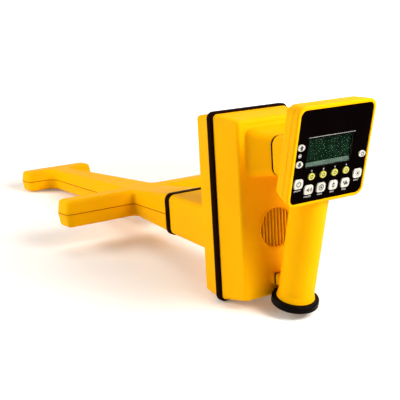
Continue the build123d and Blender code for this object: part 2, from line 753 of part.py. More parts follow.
with BuildPart() as box_gasket:
    with BuildSketch(across(HALF_BAND)):
        RectangleRounded(BAND_WIDTH, BAND_HEIGHT, BAND_CORNER)
    extrude(amount=BAND_DEPTH)
    fillet(box_gasket.edges().filter_by(Plane.XZ), BAND_ROUND)
    with BuildSketch(across(HALF_BAND)):
        RectangleRounded(*smaller(SHELL, WALL), INNER_CORNER)
    extrude(amount=BAND_DEPTH, mode=Mode.SUBTRACT)
finish("box_gasket", box_gasket)

# Box: front shell with neck, strut, grille and jack seats
with BuildPart() as front_shell:
    front_run = FRONT_DEPTH - HALF_BAND
    rounded_box(across(-HALF_BAND), SHELL, front_run, FRONT_FACE, SHELL_CORNER, end_round=EDGE_ROUND)
    neck_run = NECK_REACH - FRONT_INSIDE
    rounded_box(
        across(-FRONT_INSIDE),
        NECK_ROOT,
        neck_run,
        NECK_END,
        NECK_CORNER,
        rise=NECK_RISE + NECK_FALL,
        fall=NECK_FALL,
    )
    on_face = front_shell.edges().filter_by_position(Axis.Y, -FRONT_DEPTH - FIT, -FRONT_DEPTH + FIT)
    round_neck = on_face.filter_by_position(Axis.X, -NECK_ROOT[0] / 2, NECK_ROOT[0] / 2).filter_by_position(
        Axis.Z, NECK_RISE + NECK_FALL - NECK_ROOT[1] / 2 - FIT, NECK_RISE + NECK_FALL + NECK_ROOT[1] / 2 + FIT
    )
    fillet(round_neck, NECK_ROOT_ROUND)
    strut_run = STRUT_REACH - FRONT_INSIDE
    rounded_box(across(-FRONT_INSIDE), STRUT, strut_run, STRUT, STRUT_CORNER, rise=-STRUT_DROP)
    rods(across(-FRONT_DEPTH), [(0, -GRILLE_DROP)], GRILLE_R + GRILLE_RIM, GRILLE_RIM_PROUD)
    fillet(circles(front_shell, GRILLE_R + GRILLE_RIM).sort_by(Axis.Y)[0], GRILLE_RIM_PROUD / 2)
    grille_deep = GRILLE_SINK + GRILLE_RIM_PROUD
    holes(across(GRILLE_SINK - FRONT_DEPTH), [(0, -GRILLE_DROP)], GRILLE_R, grille_deep)
    rounded_box(
        across(-HALF_BAND),
        smaller(SHELL, WALL),
        FRONT_INSIDE - HALF_BAND,
        smaller(FRONT_FACE, WALL),
        INNER_CORNER,
        mode=Mode.SUBTRACT,
    )
    rounded_box(
        across(LOOSE - FRONT_INSIDE),
        smaller(NECK_ROOT, WALL),
        NECK_REACH - END_WALL - FRONT_INSIDE + LOOSE,
        smaller(NECK_END, WALL),
        NECK_CORNER - WALL,
        rise=NECK_RISE + NECK_FALL,
        fall=NECK_FALL,
        mode=Mode.SUBTRACT,
    )
    with BuildSketch(across(-FRONT_INSIDE)):
        with Locations((0, -GRILLE_DROP)):
            with GridLocations(SLOT_PITCH, 0, SLOT_COUNT, 1):
                Rectangle(SLOT_WIDTH, 2 * GRILLE_R)
            Circle(GRILLE_R - GRILLE_RIM / 2, mode=Mode.INTERSECT)
    extrude(amount=WALL, mode=Mode.SUBTRACT)
    rods(across(0), box_screw_spots, POST_R, FRONT_DEPTH - WALL / 2)
    holes(across(0), box_screw_spots, SCREW_R + FIT, PILOT_DEPTH)
    rods(across(-BOARD_Y), board_screw_spots, SMALL_SCREW_R + POST_WALL, FRONT_DEPTH - WALL / 2 - BOARD_Y)
    holes(across(-BOARD_Y), board_screw_spots, SMALL_SCREW_R + FIT, PILOT_DEPTH)
    for name, drop, bush_radius, bore_radius in JACKS:
        spot = [(-JACK_Y, -drop)]
        rods(Plane.YZ.offset(JACK_SEAT), spot, JACK_SPOT_R + WALL / 2, -JACK_BOSS)
        holes(Plane.YZ.offset(JACK_SEAT), spot, JACK_SPOT_R, SHELL[0])
        holes(Plane.YZ.offset(JACK_SEAT), spot, bush_radius + FIT, -JACK_BOSS - WALL)
    holes(across(END_WALL - NECK_REACH), neck_screw_spots, SCREW_R + FIT, END_WALL)
    holes(across(END_WALL - NECK_REACH), [(0, NECK_RISE)], NECK_PASS_R, END_WALL)
    holes(across(-FRONT_INSIDE), [strut_screw_spot], SCREW_R + FIT, strut_run)
finish("front_shell", front_shell)

with BuildPart() as box_screws:
    screws(across(REAR_DEPTH - BOX_SCREW_SINK), box_screw_spots, BOX_SCREW_LENGTH, *SCREW)
finish("box_screws", box_screws)

# Main board with its parts
with BuildPart() as main_board:
    with BuildSketch(across(-BOARD_BACK)):
        with Locations((0, (BOARD_LOW + BOARD_HIGH) / 2)):
            Rectangle(BOARD_WIDTH, BOARD_HIGH - BOARD_LOW)
        with Locations(*board_screw_spots):
            Circle(SMALL_SCREW_R + FIT, mode=Mode.SUBTRACT)
    extrude(amount=BOARD)
finish("main_board", main_board)

with BuildPart() as board_screws:
    screws(across(-BOARD_BACK), board_screw_spots, BOARD_SCREW_LENGTH, *SMALL_SCREW)
finish("board_screws", board_screws)

with BuildPart() as shield_can:
    blocks(across(-BOARD_BACK), [(0, SHIELD_Z)], *SHIELD_SIZE, -SHIELD_HEIGHT)
    fillet(shield_can.edges().filter_by(Axis.Y), 2 * SHIELD_WALL)
    inside = smaller(SHIELD_SIZE, SHIELD_WALL)
    pockets(across(-BOARD_BACK), [(0, SHIELD_Z)], *inside, SHIELD_WALL - SHIELD_HEIGHT)
finish("shield_can", shield_can)

display_plug = PANEL.offset(-DISPLAY_BOARD_BACK)

with BuildPart() as board_components:
    for x, z, width, height in CHIPS:
        blocks(across(-BOARD_BACK), [(x, z)], width, height, -CHIP_HEIGHT)
    blocks(across(-BOARD_BACK), [(0, LEAD_Z)], PLUG_LENGTH, PLUG_WIDTH, -PLUG_HEIGHT)
    lead_plugs = [(side * LEAD_SPREAD, PLUG_Z) for side in both_sides]
    blocks(across(-BOARD_Y), lead_plugs, PLUG_WIDTH, PLUG_LENGTH, PLUG_HEIGHT)
    blocks(display_plug, [(LEAD_SPREAD, DISPLAY_PLUG_Y)], PLUG_WIDTH, PLUG_LENGTH, -PLUG_HEIGHT)
finish("board_components", board_components)

# Speaker behind the grille
speaker_axis = Axis((0, 0, -GRILLE_DROP), (0, 1, 0))
speaker_side = Plane.XY.offset(-GRILLE_DROP)
flange_front = SPEAKER_SEAL - FRONT_INSIDE
flange_back = flange_front + SPEAKER_FLANGE
basket_back = flange_back + BASKET_DEEP
flange_bore = GRILLE_R + GRILLE_RIM / 2

with BuildPart() as speaker_gasket:
    with BuildSketch(across(-FRONT_INSIDE)):
        with Locations((0, -GRILLE_DROP)):
            Circle(SPEAKER_R)
            Circle(flange_bore, mode=Mode.SUBTRACT)
    extrude(amount=-SPEAKER_SEAL)
finish("speaker_gasket", speaker_gasket)

with BuildPart() as speaker_basket:
    with BuildSketch(speaker_side):
        with BuildLine():
            Polyline(
                (flange_bore, flange_front),
                (SPEAKER_R, flange_front),
                (SPEAKER_R, flange_back),
                (flange_bore + BASKET_WALL, flange_back),
                (MAGNET_R + BASKET_WALL, basket_back),
                (0, basket_back),
                (0, basket_back - BASKET_WALL),
                (MAGNET_R, basket_back - BASKET_WALL),
                (flange_bore, flange_back),
                close=True,
            )
        make_face()
    revolve(axis=speaker_axis)
finish("speaker_basket", speaker_basket)

with BuildPart() as speaker_magnet:
    rods(across(basket_back), [(0, -GRILLE_DROP)], MAGNET_R, -MAGNET_DEEP)
    fillet(speaker_magnet.edges().sort_by(Axis.Y)[-1], BASKET_WALL)
finish("speaker_magnet", speaker_magnet)

with BuildPart() as speaker_cone:
    cone_rim = flange_bore - FIT
    cone_edge = cone_rim - GRILLE_RIM
    cone_neck = flange_front + CONE_DEEP
    with BuildSketch(speaker_side):
        with BuildLine():
            Polyline(
                (0, cone_neck - CONE_WALL),
                (CONE_NECK_R, cone_neck),
                (cone_edge, flange_front + CONE_WALL),
                (cone_rim, flange_front + CONE_WALL),
                (cone_rim, flange_front + 2 * CONE_WALL),
                (cone_edge, flange_front + 2 * CONE_WALL),
                (CONE_NECK_R, cone_neck + CONE_WALL),
                (0, cone_neck),
                close=True,
            )
        make_face()
    revolve(axis=speaker_axis)
finish("speaker_cone", speaker_cone)

# Jacks, each a bush through the wall with a nut outside and a body inside
for name, drop, bush_radius, bore_radius in JACKS:
    with BuildPart() as jack:
        spot = [(-JACK_Y, -drop)]
        rods(Plane.YZ.offset(JACK_SEAT - JACK_BOSS), spot, bush_radius + JACK_BODY_RIM, -JACK_BODY)
        rods(Plane.YZ.offset(JACK_SEAT - JACK_BOSS), spot, bush_radius, JACK_MOUTH - JACK_SEAT + JACK_BOSS)
        holes(Plane.YZ.offset(JACK_MOUTH), spot, bore_radius, -JACK_BORE_DEEP)
    finish(name, jack)

with BuildPart() as jack_nuts:
    for name, drop, bush_radius, bore_radius in JACKS:
        with BuildSketch(Plane.YZ.offset(JACK_SEAT)):
            with Locations((-JACK_Y, -drop)):
                RegularPolygon(bush_radius + JACK_NUT_RIM, HEX_SIDES)
                Circle(bush_radius + FIT, mode=Mode.SUBTRACT)
        extrude(amount=JACK_NUT)
finish("jack_nuts", jack_nuts)

# Grip housing: tube, neck, strut pad and the head's rear tray in one moulding
NECK_BACK = NECK_REACH + SEAM_PAD
STRUT_BACK = STRUT_REACH + SEAM_PAD
tray_size = head_size(TRAY_FRONT + RIM_PROUD)
tray_inside = HEAD_BACK - HEAD_WALL
neck_deep = -behind_panel(NECK_RISE + NECK_HEIGHT / 2, tray_inside)
strut_deep = GRIP_STANDOFF - STRUT_DROP * tan(lean)

with BuildPart() as handle_housing:
    rounded_box(
        PANEL.offset(-TRAY_FRONT),
        tray_size,
        TRAY_FRONT - HEAD_BACK,
        head_size(HEAD_DEPTH),
        HEAD_CORNER,
        end_round=HEAD_BACK_ROUND,
    )
    rods(GRIP.offset(-GRIP_DOWN), [(0, 0)], GRIP_R, GRIP_DOWN + GRIP_TOP)
    with BuildSketch(GRIP.offset(-GRIP_DOWN)):
        Circle(GRIP_R + GRIP_LIP)
    extrude(amount=GRIP_LIP_HEIGHT, taper=degrees(atan2(GRIP_LIP, GRIP_LIP_HEIGHT)))
    rounded_box(across(-NECK_BACK), NECK_END, neck_deep - NECK_BACK, NECK_END, NECK_CORNER, rise=NECK_RISE)
    rounded_box(across(-STRUT_BACK), STRUT, strut_deep - STRUT_BACK, STRUT, STRUT_CORNER, rise=-STRUT_DROP)
    rounded_box(
        PANEL.offset(-TRAY_FRONT),
        smaller(tray_size, HEAD_WALL),
        TRAY_FRONT - tray_inside,
        smaller(head_size(HEAD_DEPTH), HEAD_WALL),
        HEAD_CORNER - HEAD_WALL,
        mode=Mode.SUBTRACT,
    )
    pockets(PANEL.offset(-TRAY_FRONT), [(0, 0)], *smaller(HEAD_SIZE, -LOOSE), 2 * TRAY_FRONT)
    rounded_box(
        across(-NECK_BACK - END_WALL),
        smaller(NECK_END, WALL),
        neck_deep - NECK_BACK - END_WALL,
        smaller(NECK_END, WALL),
        NECK_CORNER - WALL,
        rise=NECK_RISE,
        mode=Mode.SUBTRACT,
    )
    holes(GRIP.offset(-GRIP_DOWN), [(0, 0)], BORE_R, GRIP_DOWN + BORE_TOP)
    wire_deep = GRIP_TOP - BORE_TOP + GRIP_LIP_HEIGHT
    holes(GRIP.offset(BORE_TOP), [(-LEAD_SPREAD, WIRE_BACK)], WIRE_HOLE_R, wire_deep)
    tray_post = HEAD_BACK - HEAD_WALL / 2 - DISPLAY_BOARD_BACK
    rods(PANEL.offset(-DISPLAY_BOARD_BACK), head_screw_spots, HEAD_POST_R, -tray_post)
    holes(PANEL.offset(-HEAD_BACK), head_screw_spots, SMALL_SCREW_R + FIT, HEAD_BACK)
    holes(PANEL.offset(-HEAD_BACK), head_screw_spots, SMALL_HEAD_R + HEAD_CLEAR, HEAD_SCREW_SINK)
    holes(across(-NECK_BACK), neck_screw_spots, SCREW_R + FIT, END_WALL)
    holes(across(-NECK_BACK), [(0, NECK_RISE)], NECK_PASS_R, END_WALL)
    holes(across(-FRONT_INSIDE), [strut_screw_spot], SCREW_R + FIT, STRUT_SCREW_LENGTH + LOOSE)
finish("handle_housing", handle_housing)

with BuildPart() as neck_gasket:
    with BuildSketch(across(-NECK_REACH)):
        with Locations((0, NECK_RISE)):
            RectangleRounded(*smaller(NECK_END, SEAM_INSET), NECK_CORNER - SEAM_INSET)
            Circle(NECK_PASS_R, mode=Mode.SUBTRACT)
        with Locations(*neck_screw_spots):
            Circle(SCREW_R + FIT, mode=Mode.SUBTRACT)
    extrude(amount=SEAM_PAD)
finish("neck_gasket", neck_gasket)

with BuildPart() as strut_pad:
    with BuildSketch(across(-STRUT_REACH)):
        with Locations(strut_screw_spot):
            RectangleRounded(*smaller(STRUT, SEAM_INSET), STRUT_CORNER - SEAM_INSET)
            Circle(SCREW_R + FIT, mode=Mode.SUBTRACT)
    extrude(amount=SEAM_PAD)
finish("strut_pad", strut_pad)

with BuildPart() as handle_screws:
    screws(across(END_WALL - NECK_REACH), neck_screw_spots, GRIP_SCREW_LENGTH, *SCREW)
    screws(across(-FRONT_INSIDE), [strut_screw_spot], STRUT_SCREW_LENGTH, *SCREW)
finish("handle_screws", handle_screws)

# Batteries in the grip, from the terminal at the top down to the cap
tier = CELL_LENGTH + CELL_NUB + 2 * CELL_END_GAP
carrier_top = BORE_TOP - TERMINAL - STUD - LOOSE
carrier_plates = [carrier_top - floor * tier - (floor + 1) * CARRIER_PLATE for floor in range(TIERS + 1)]
carrier_bottom = carrier_plates[-1]
stud_spots = [(-CELL_RING_R, 0), (CELL_RING_R, 0)]

with BuildPart() as battery_terminal:
    rods(GRIP.offset(BORE_TOP), [(0, 0)], TERMINAL_R, -TERMINAL)
    rods(GRIP.offset(BORE_TOP - TERMINAL), stud_spots, STUD_R, -STUD)
finish("battery_terminal", battery_terminal)

with BuildPart() as battery_carrier:
    for level in carrier_plates:
        rods(GRIP.offset(level), [(0, 0)], CARRIER_R, CARRIER_PLATE)
    rods(GRIP.offset(carrier_bottom), [(0, 0)], CARRIER_CORE_R, carrier_top - carrier_bottom)
    with BuildSketch(GRIP.offset(carrier_bottom)):
        with PolarLocations(CARRIER_RIB_R, CELLS_A_TIER, start_angle=90):
            Rectangle(CARRIER_RIB_SIZE, CARRIER_RIB_SIZE)
    extrude(amount=carrier_top - carrier_bottom)
    rods(GRIP.offset(carrier_bottom), [(0, 0)], STUD_R, -STUD)
finish("battery_carrier", battery_carrier)

with BuildPart() as battery_cells:
    for level in carrier_plates[1:]:
        cell_foot = level + CARRIER_PLATE + CELL_END_GAP
        cell_top = cell_foot + CELL_LENGTH
        for foot, radius, length in ((cell_foot, CELL_R, CELL_LENGTH), (cell_top, CELL_NUB_R, CELL_NUB)):
            with BuildSketch(GRIP.offset(foot)):
                with PolarLocations(CELL_RING_R, CELLS_A_TIER, start_angle=-90):
                    Circle(radius)
            extrude(amount=length)
finish("battery_cells", battery_cells)

# Battery cap with its seal ring and swivelling contact plate
cap_top = -GRIP_DOWN - LOOSE
cap_bottom = cap_top - CAP_HEIGHT
plug_top = cap_top + PLUG_LONG
boss_top = plug_top - CAP_BOSS_SINK
groove_bottom = plug_top - 2 * SEAL_GROOVE
pivot_foot = cap_bottom + CAP_FLOOR
plate_foot = carrier_bottom - STUD - 2 * LOOSE - PLATE

with BuildPart() as battery_cap:
    rods(GRIP.offset(cap_bottom), [(0, 0)], CAP_R, CAP_HEIGHT)
    fillet(battery_cap.edges(), CAP_ROUND)
    rods(GRIP.offset(cap_bottom + CAP_FLOOR), [(0, 0)], PLUG_R, plug_top - cap_bottom - CAP_FLOOR)
    holes(GRIP.offset(cap_bottom + CAP_FLOOR), [(0, 0)], PLUG_BORE_R, plug_top - cap_bottom)
    rods(GRIP.offset(cap_bottom + CAP_FLOOR / 2), [(0, 0)], CAP_BOSS_R, boss_top - cap_bottom - CAP_FLOOR / 2)
    holes(GRIP.offset(pivot_foot), [(0, 0)], PIVOT_R + FIT, boss_top - pivot_foot)
    with BuildSketch(GRIP.offset(groove_bottom)):
        Circle(PLUG_R + LOOSE)
        Circle(BORE_R - FIT - 2 * SEAL_RING_R - FIT, mode=Mode.SUBTRACT)
    extrude(amount=SEAL_GROOVE, mode=Mode.SUBTRACT)
finish("battery_cap", battery_cap)

with BuildPart() as cap_seal:
    ring_side = Plane(origin=GRIP.origin, x_dir=GRIP.x_dir, z_dir=-GRIP.y_dir)
    with BuildSketch(ring_side):
        with Locations((BORE_R - FIT - SEAL_RING_R, groove_bottom + SEAL_GROOVE / 2)):
            Circle(SEAL_RING_R)
    revolve(axis=Axis(GRIP.origin, GRIP.z_dir))
finish("cap_seal", cap_seal)

with BuildPart() as cap_plate:
    rods(GRIP.offset(plate_foot), [(0, 0)], PLATE_R, PLATE)
    rods(GRIP.offset(boss_top + LOOSE), [(0, 0)], CAP_BOSS_R, plate_foot - boss_top - LOOSE)
    rods(GRIP.offset(pivot_foot + LOOSE), [(0, 0)], PIVOT_R, plate_foot - pivot_foot - LOOSE)
finish("cap_plate", cap_plate)

# Head: bezel, panel, window, module, board and key mat
window_spot = (WINDOW_X, WINDOW_Y)
window = (WINDOW_WIDTH, WINDOW_HEIGHT)
module = (WINDOW_WIDTH + 2 * MODULE_RIM_X, WINDOW_HEIGHT + 2 * MODULE_RIM_Y)

with BuildPart() as head_bezel:
    rounded_box(
        PANEL.offset(RIM_PROUD - BEZEL_DEPTH),
        head_size(BEZEL_DEPTH),
        BEZEL_DEPTH,
        head_size(0),
        HEAD_CORNER,
        end_round=RIM_ROUND,
    )
    with BuildSketch(PANEL.offset(-OVERLAY)):
        RectangleRounded(PANEL_WIDTH, PANEL_HEIGHT, PANEL_CORNER)
    extrude(amount=OVERLAY + RIM_PROUD, mode=Mode.SUBTRACT)
    rounded_box(
        PANEL.offset(RIM_PROUD - BEZEL_DEPTH),
        smaller(head_size(BEZEL_DEPTH), HEAD_WALL),
        BEZEL_DEPTH - RIM_PROUD - BEZEL_INSIDE,
        smaller(head_size(BEZEL_INSIDE + RIM_PROUD), HEAD_WALL),
        HEAD_CORNER - HEAD_WALL,
        mode=Mode.SUBTRACT,
    )
    pockets(PANEL.offset(-OVERLAY), [window_spot], *window, -BEZEL_WALL)
    pockets(PANEL.offset(-OVERLAY), [window_spot], *smaller(window, -PANE_LAP), -PANE)
    key_holes(PANEL.offset(-OVERLAY), BEZEL_WALL)
    bezel_post = DISPLAY_BOARD_DEEP - OVERLAY - BEZEL_WALL / 2
    bezel_pilot = DISPLAY_BOARD_DEEP - BEZEL_INSIDE
    board_face = PANEL.offset(-DISPLAY_BOARD_DEEP)
    rods(board_face, head_screw_spots, HEAD_POST_R, bezel_post)
    holes(board_face, head_screw_spots, SMALL_SCREW_R + FIT, bezel_pilot)
finish("head_bezel", head_bezel)

with BuildPart() as head_gasket:
    with BuildSketch(PANEL.offset(-TRAY_FRONT)):
        RectangleRounded(*smaller(tray_size, HEAD_SEAL_INSET), HEAD_CORNER - HEAD_SEAL_INSET)
        RectangleRounded(*smaller(tray_size, HEAD_WALL), HEAD_CORNER - HEAD_WALL, mode=Mode.SUBTRACT)
    extrude(amount=HEAD_SEAL)
finish("head_gasket", head_gasket)

with BuildPart() as head_screws:
    screws(PANEL.offset(HEAD_SCREW_SINK - HEAD_BACK), head_screw_spots, HEAD_SCREW_LENGTH, *SMALL_SCREW)
finish("head_screws", head_screws)

with BuildPart() as panel_overlay:
    with BuildSketch(PANEL):
        RectangleRounded(*smaller((PANEL_WIDTH, PANEL_HEIGHT), FIT), PANEL_CORNER - FIT)
        with Locations(window_spot):
            RectangleRounded(*window, WINDOW_CORNER, mode=Mode.SUBTRACT)
    extrude(amount=-OVERLAY)
    key_holes(PANEL, OVERLAY)
finish("panel_overlay", panel_overlay)

with BuildPart() as lcd_window:
    blocks(PANEL.offset(-OVERLAY), [window_spot], *smaller(window, FIT - PANE_LAP), -PANE)
finish("lcd_window", lcd_window)

with BuildPart() as lcd_module:
    module_deep = DISPLAY_BOARD_DEEP - BEZEL_INSIDE - LOOSE
    blocks(PANEL.offset(-DISPLAY_BOARD_DEEP), [window_spot], *module, module_deep)
finish("lcd_module", lcd_module)

with BuildPart() as display_board:
    with BuildSketch(PANEL.offset(-DISPLAY_BOARD_DEEP)):
        RectangleRounded(*DISPLAY_BOARD, DISPLAY_BOARD_CORNER)
        with Locations(*head_screw_spots):
            Circle(SMALL_SCREW_R + FIT, mode=Mode.SUBTRACT)
    extrude(amount=-BOARD)
finish("display_board", display_board)

with BuildPart() as key_mat:
    with BuildSketch(PANEL.offset(-DISPLAY_BOARD_DEEP)):
        Rectangle(*KEY_MAT_SIZE)
        with Locations(window_spot):
            Rectangle(*smaller(module, -LOOSE), mode=Mode.SUBTRACT)
    extrude(amount=KEY_MAT)
    rods(PANEL.offset(KEY_MAT - DISPLAY_BOARD_DEEP), [spot for name, spot, outline in KEYS], DOME_R, DOME)
finish("key_mat", key_mat)

# Keys, each a cap through the panel on a flange that the bezel holds back
flange_top = BEZEL_INSIDE + LOOSE
stem_foot = DISPLAY_BOARD_DEEP - KEY_MAT - DOME - LOOSE - KEY_TRAVEL
for name, spot, outline in KEYS:
    with BuildPart() as key:
        with BuildSketch(PANEL.offset(-flange_top)):
            with Locations(spot):
                outline()
        extrude(amount=flange_top + KEY_PROUD)
        fillet(key.faces().sort_by(Axis(PANEL.origin, PANEL.z_dir))[-1].edges(), KEY_ROUND)
        with BuildSketch(PANEL.offset(-flange_top)):
            with Locations(spot):
                outline(KEY_FLANGE)
        extrude(amount=-KEY_FLANGE_HEIGHT)
        rods(PANEL.offset(-stem_foot), [spot], KEY_STEM_R, stem_foot - flange_top)
    finish(name, key)

# Leads from the main board up through the neck, to the display board and down to the battery terminal
lead_y = -BOARD_Y - PLUG_HEIGHT / 2
lead_start = PLUG_Z + PLUG_LENGTH / 2 + FIT
plug_face = PANEL.from_local_coords((LEAD_SPREAD, DISPLAY_PLUG_Y, -DISPLAY_BOARD_BACK - PLUG_HEIGHT - FIT))
plug_run = plug_face - PANEL.z_dir * LEAD_TURN
wire_foot = GRIP.from_local_coords((-LEAD_SPREAD, WIRE_BACK, BORE_TOP + FIT))
wire_rise = (NECK_RISE - wire_foot.Z) / cos(lean)

with BuildPart() as display_lead:
    lead(
        [
            (LEAD_SPREAD, lead_y, lead_start),
            (LEAD_SPREAD, lead_y, plug_run.Z),
            (LEAD_SPREAD, plug_run.Y, plug_run.Z),
            plug_face,
        ],
        [LEAD_TURN, LEAD_TURN],
    )
finish("display_lead", display_lead)

with BuildPart() as battery_lead:
    lead(
        [
            (-LEAD_SPREAD, lead_y, lead_start),
            (-LEAD_SPREAD, lead_y, NECK_RISE),
            wire_foot + GRIP.z_dir * wire_rise,
            wire_foot,
        ],
        [LEAD_TURN, LEAD_TURN],
    )
finish("battery_lead", battery_lead)

# Resting tilt: a level floor that touches the band's rounded lower edge and the tip arm's rounded lower edge
underside = atan2(MID_HALF - TIP_HALF, TIP_FAR - MID_NEAR)
draft = radians(WAND_DRAFT)
end_line = TIP_FAR - SEAM_Z * tan(draft) - WAND_ROUND / cos(draft)
under_line = SEAM_Z - MID_HALF - MID_NEAR * tan(underside) + WAND_ROUND / cos(underside)
tip_y = (end_line + under_line * tan(draft)) / (1 - tan(underside) * tan(draft))
tip_z = under_line + tip_y * tan(underside)
reach = tip_y - (HALF_BAND - BAND_ROUND)
climb = tip_z - (BAND_ROUND - BAND_HEIGHT / 2)
REST_TILT = degrees(atan2(climb, reach) - asin((WAND_ROUND - BAND_ROUND) / hypot(reach, climb)))

tilted = Location((0, 0, 0), (-REST_TILT, 0, 0))
extent = Compound([piece.moved(tilted) for piece in pieces.values()]).bounding_box()
LAID_DOWN = Location((-extent.center().X, -extent.center().Y, -extent.min.Z)) * tilted

os.makedirs("parts", exist_ok=True)
for name, piece in pieces.items():
    export_step(piece.moved(LAID_DOWN), f"parts/{name}.step")
overall = extent.size
print(f"resting tilt {REST_TILT:.2f} degrees, size {overall.X:.1f} x {overall.Y:.1f} x {overall.Z:.1f}")
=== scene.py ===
"""Looks of a hand-held cable and pipe locator: moulded shells, rubber seals, key panel, display, studio."""

import json
import logging
import math
from dataclasses import dataclass, field
from enum import Enum
from typing import Any, Dict, List, Optional, Sequence, Set, Tuple

import bmesh
import bpy
from bmesh.types import BMesh, BMVert
from bpy.types import ID, Material, Mesh, Node, NodeSocket, NodeTree, Object
from mathutils import Matrix, Vector

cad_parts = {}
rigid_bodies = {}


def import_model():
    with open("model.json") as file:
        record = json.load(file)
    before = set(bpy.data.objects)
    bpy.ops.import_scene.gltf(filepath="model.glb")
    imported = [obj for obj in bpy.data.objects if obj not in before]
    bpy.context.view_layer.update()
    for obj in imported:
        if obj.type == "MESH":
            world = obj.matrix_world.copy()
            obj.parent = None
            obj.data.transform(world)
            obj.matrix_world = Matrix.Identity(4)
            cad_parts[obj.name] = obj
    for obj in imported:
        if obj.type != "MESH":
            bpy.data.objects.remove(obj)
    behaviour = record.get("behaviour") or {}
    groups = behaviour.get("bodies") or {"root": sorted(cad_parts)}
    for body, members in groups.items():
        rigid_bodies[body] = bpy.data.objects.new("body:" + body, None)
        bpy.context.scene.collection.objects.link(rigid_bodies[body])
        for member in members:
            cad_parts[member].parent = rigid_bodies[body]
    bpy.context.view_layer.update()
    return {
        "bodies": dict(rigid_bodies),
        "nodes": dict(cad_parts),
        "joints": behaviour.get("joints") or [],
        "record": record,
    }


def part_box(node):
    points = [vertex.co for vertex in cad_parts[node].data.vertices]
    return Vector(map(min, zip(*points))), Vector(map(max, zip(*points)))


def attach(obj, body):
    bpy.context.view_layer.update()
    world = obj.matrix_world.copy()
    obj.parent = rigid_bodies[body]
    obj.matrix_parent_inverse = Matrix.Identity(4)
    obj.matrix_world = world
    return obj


LOG = logging.getLogger("locator")
RECEIVER = "receiver"
CAP = "cap"
MILLIMETRE = 0.001
ARC_STEP_DEG = 10.0
LEAST_ARC_STEPS = 8
LETTER_STEPS = 3
ROUND_SIDES = 8
INK_WELD_MM = 0.00001
SHELL_WELD_MM = 0.001
# Most of a noise lies between these values
NOISE_LOW, NOISE_HIGH = 0.3, 0.7
NOISE = "ShaderNodeTexNoise"
MATHS = "ShaderNodeMath"
# Sockets of a mix node that mixes colours, which share their names with others
MIX_FACTOR, MIX_FIRST, MIX_SECOND, MIX_RESULT = 0, 6, 7, 2

Point = Tuple[float, float]
Colour = Tuple[float, float, float, float]


def linear(code: str) -> Colour:
    """Turn an sRGB hex colour into linear values.

    Args:
        code: colour such as "#F2B705".

    Returns:
        Linear red, green, blue and an alpha of 1.
    """
    parts = [int(code[start : start + 2], 16) / 255 for start in (1, 3, 5)]
    # The sRGB curve is straight near black and a power above it
    red, green, blue = [p / 12.92 if p <= 0.04045 else ((p + 0.055) / 1.055) ** 2.4 for p in parts]
    return red, green, blue, 1.0


def add_node(tree: NodeTree, kind: str, inputs: Optional[Dict[Any, Any]] = None, **settings: Any) -> Node:
    """Add a node with its settings, and set or link its inputs.

    Args:
        tree: tree that takes the node.
        kind: Blender's name for the type of node.
        inputs: socket name or number, to a value or to an output socket that is linked to it.
        settings: properties of the node.

    Returns:
        The new node.
    """
    made = tree.nodes.new(kind)
    for name, value in settings.items():
        setattr(made, name, value)
    for name, value in (inputs or {}).items():
        if isinstance(value, NodeSocket):
            tree.links.new(value, made.inputs[name])
        else:
            made.inputs[name].default_value = value
    return made


def cleared_tree(owner: ID) -> NodeTree:
    """Empty the node tree of a new material or world.

    Args:
        owner: the material or world.

    Returns:
        Its tree, with no nodes in it.
    """
    owner.use_nodes = True
    owner.node_tree.nodes.clear()
    return owner.node_tree


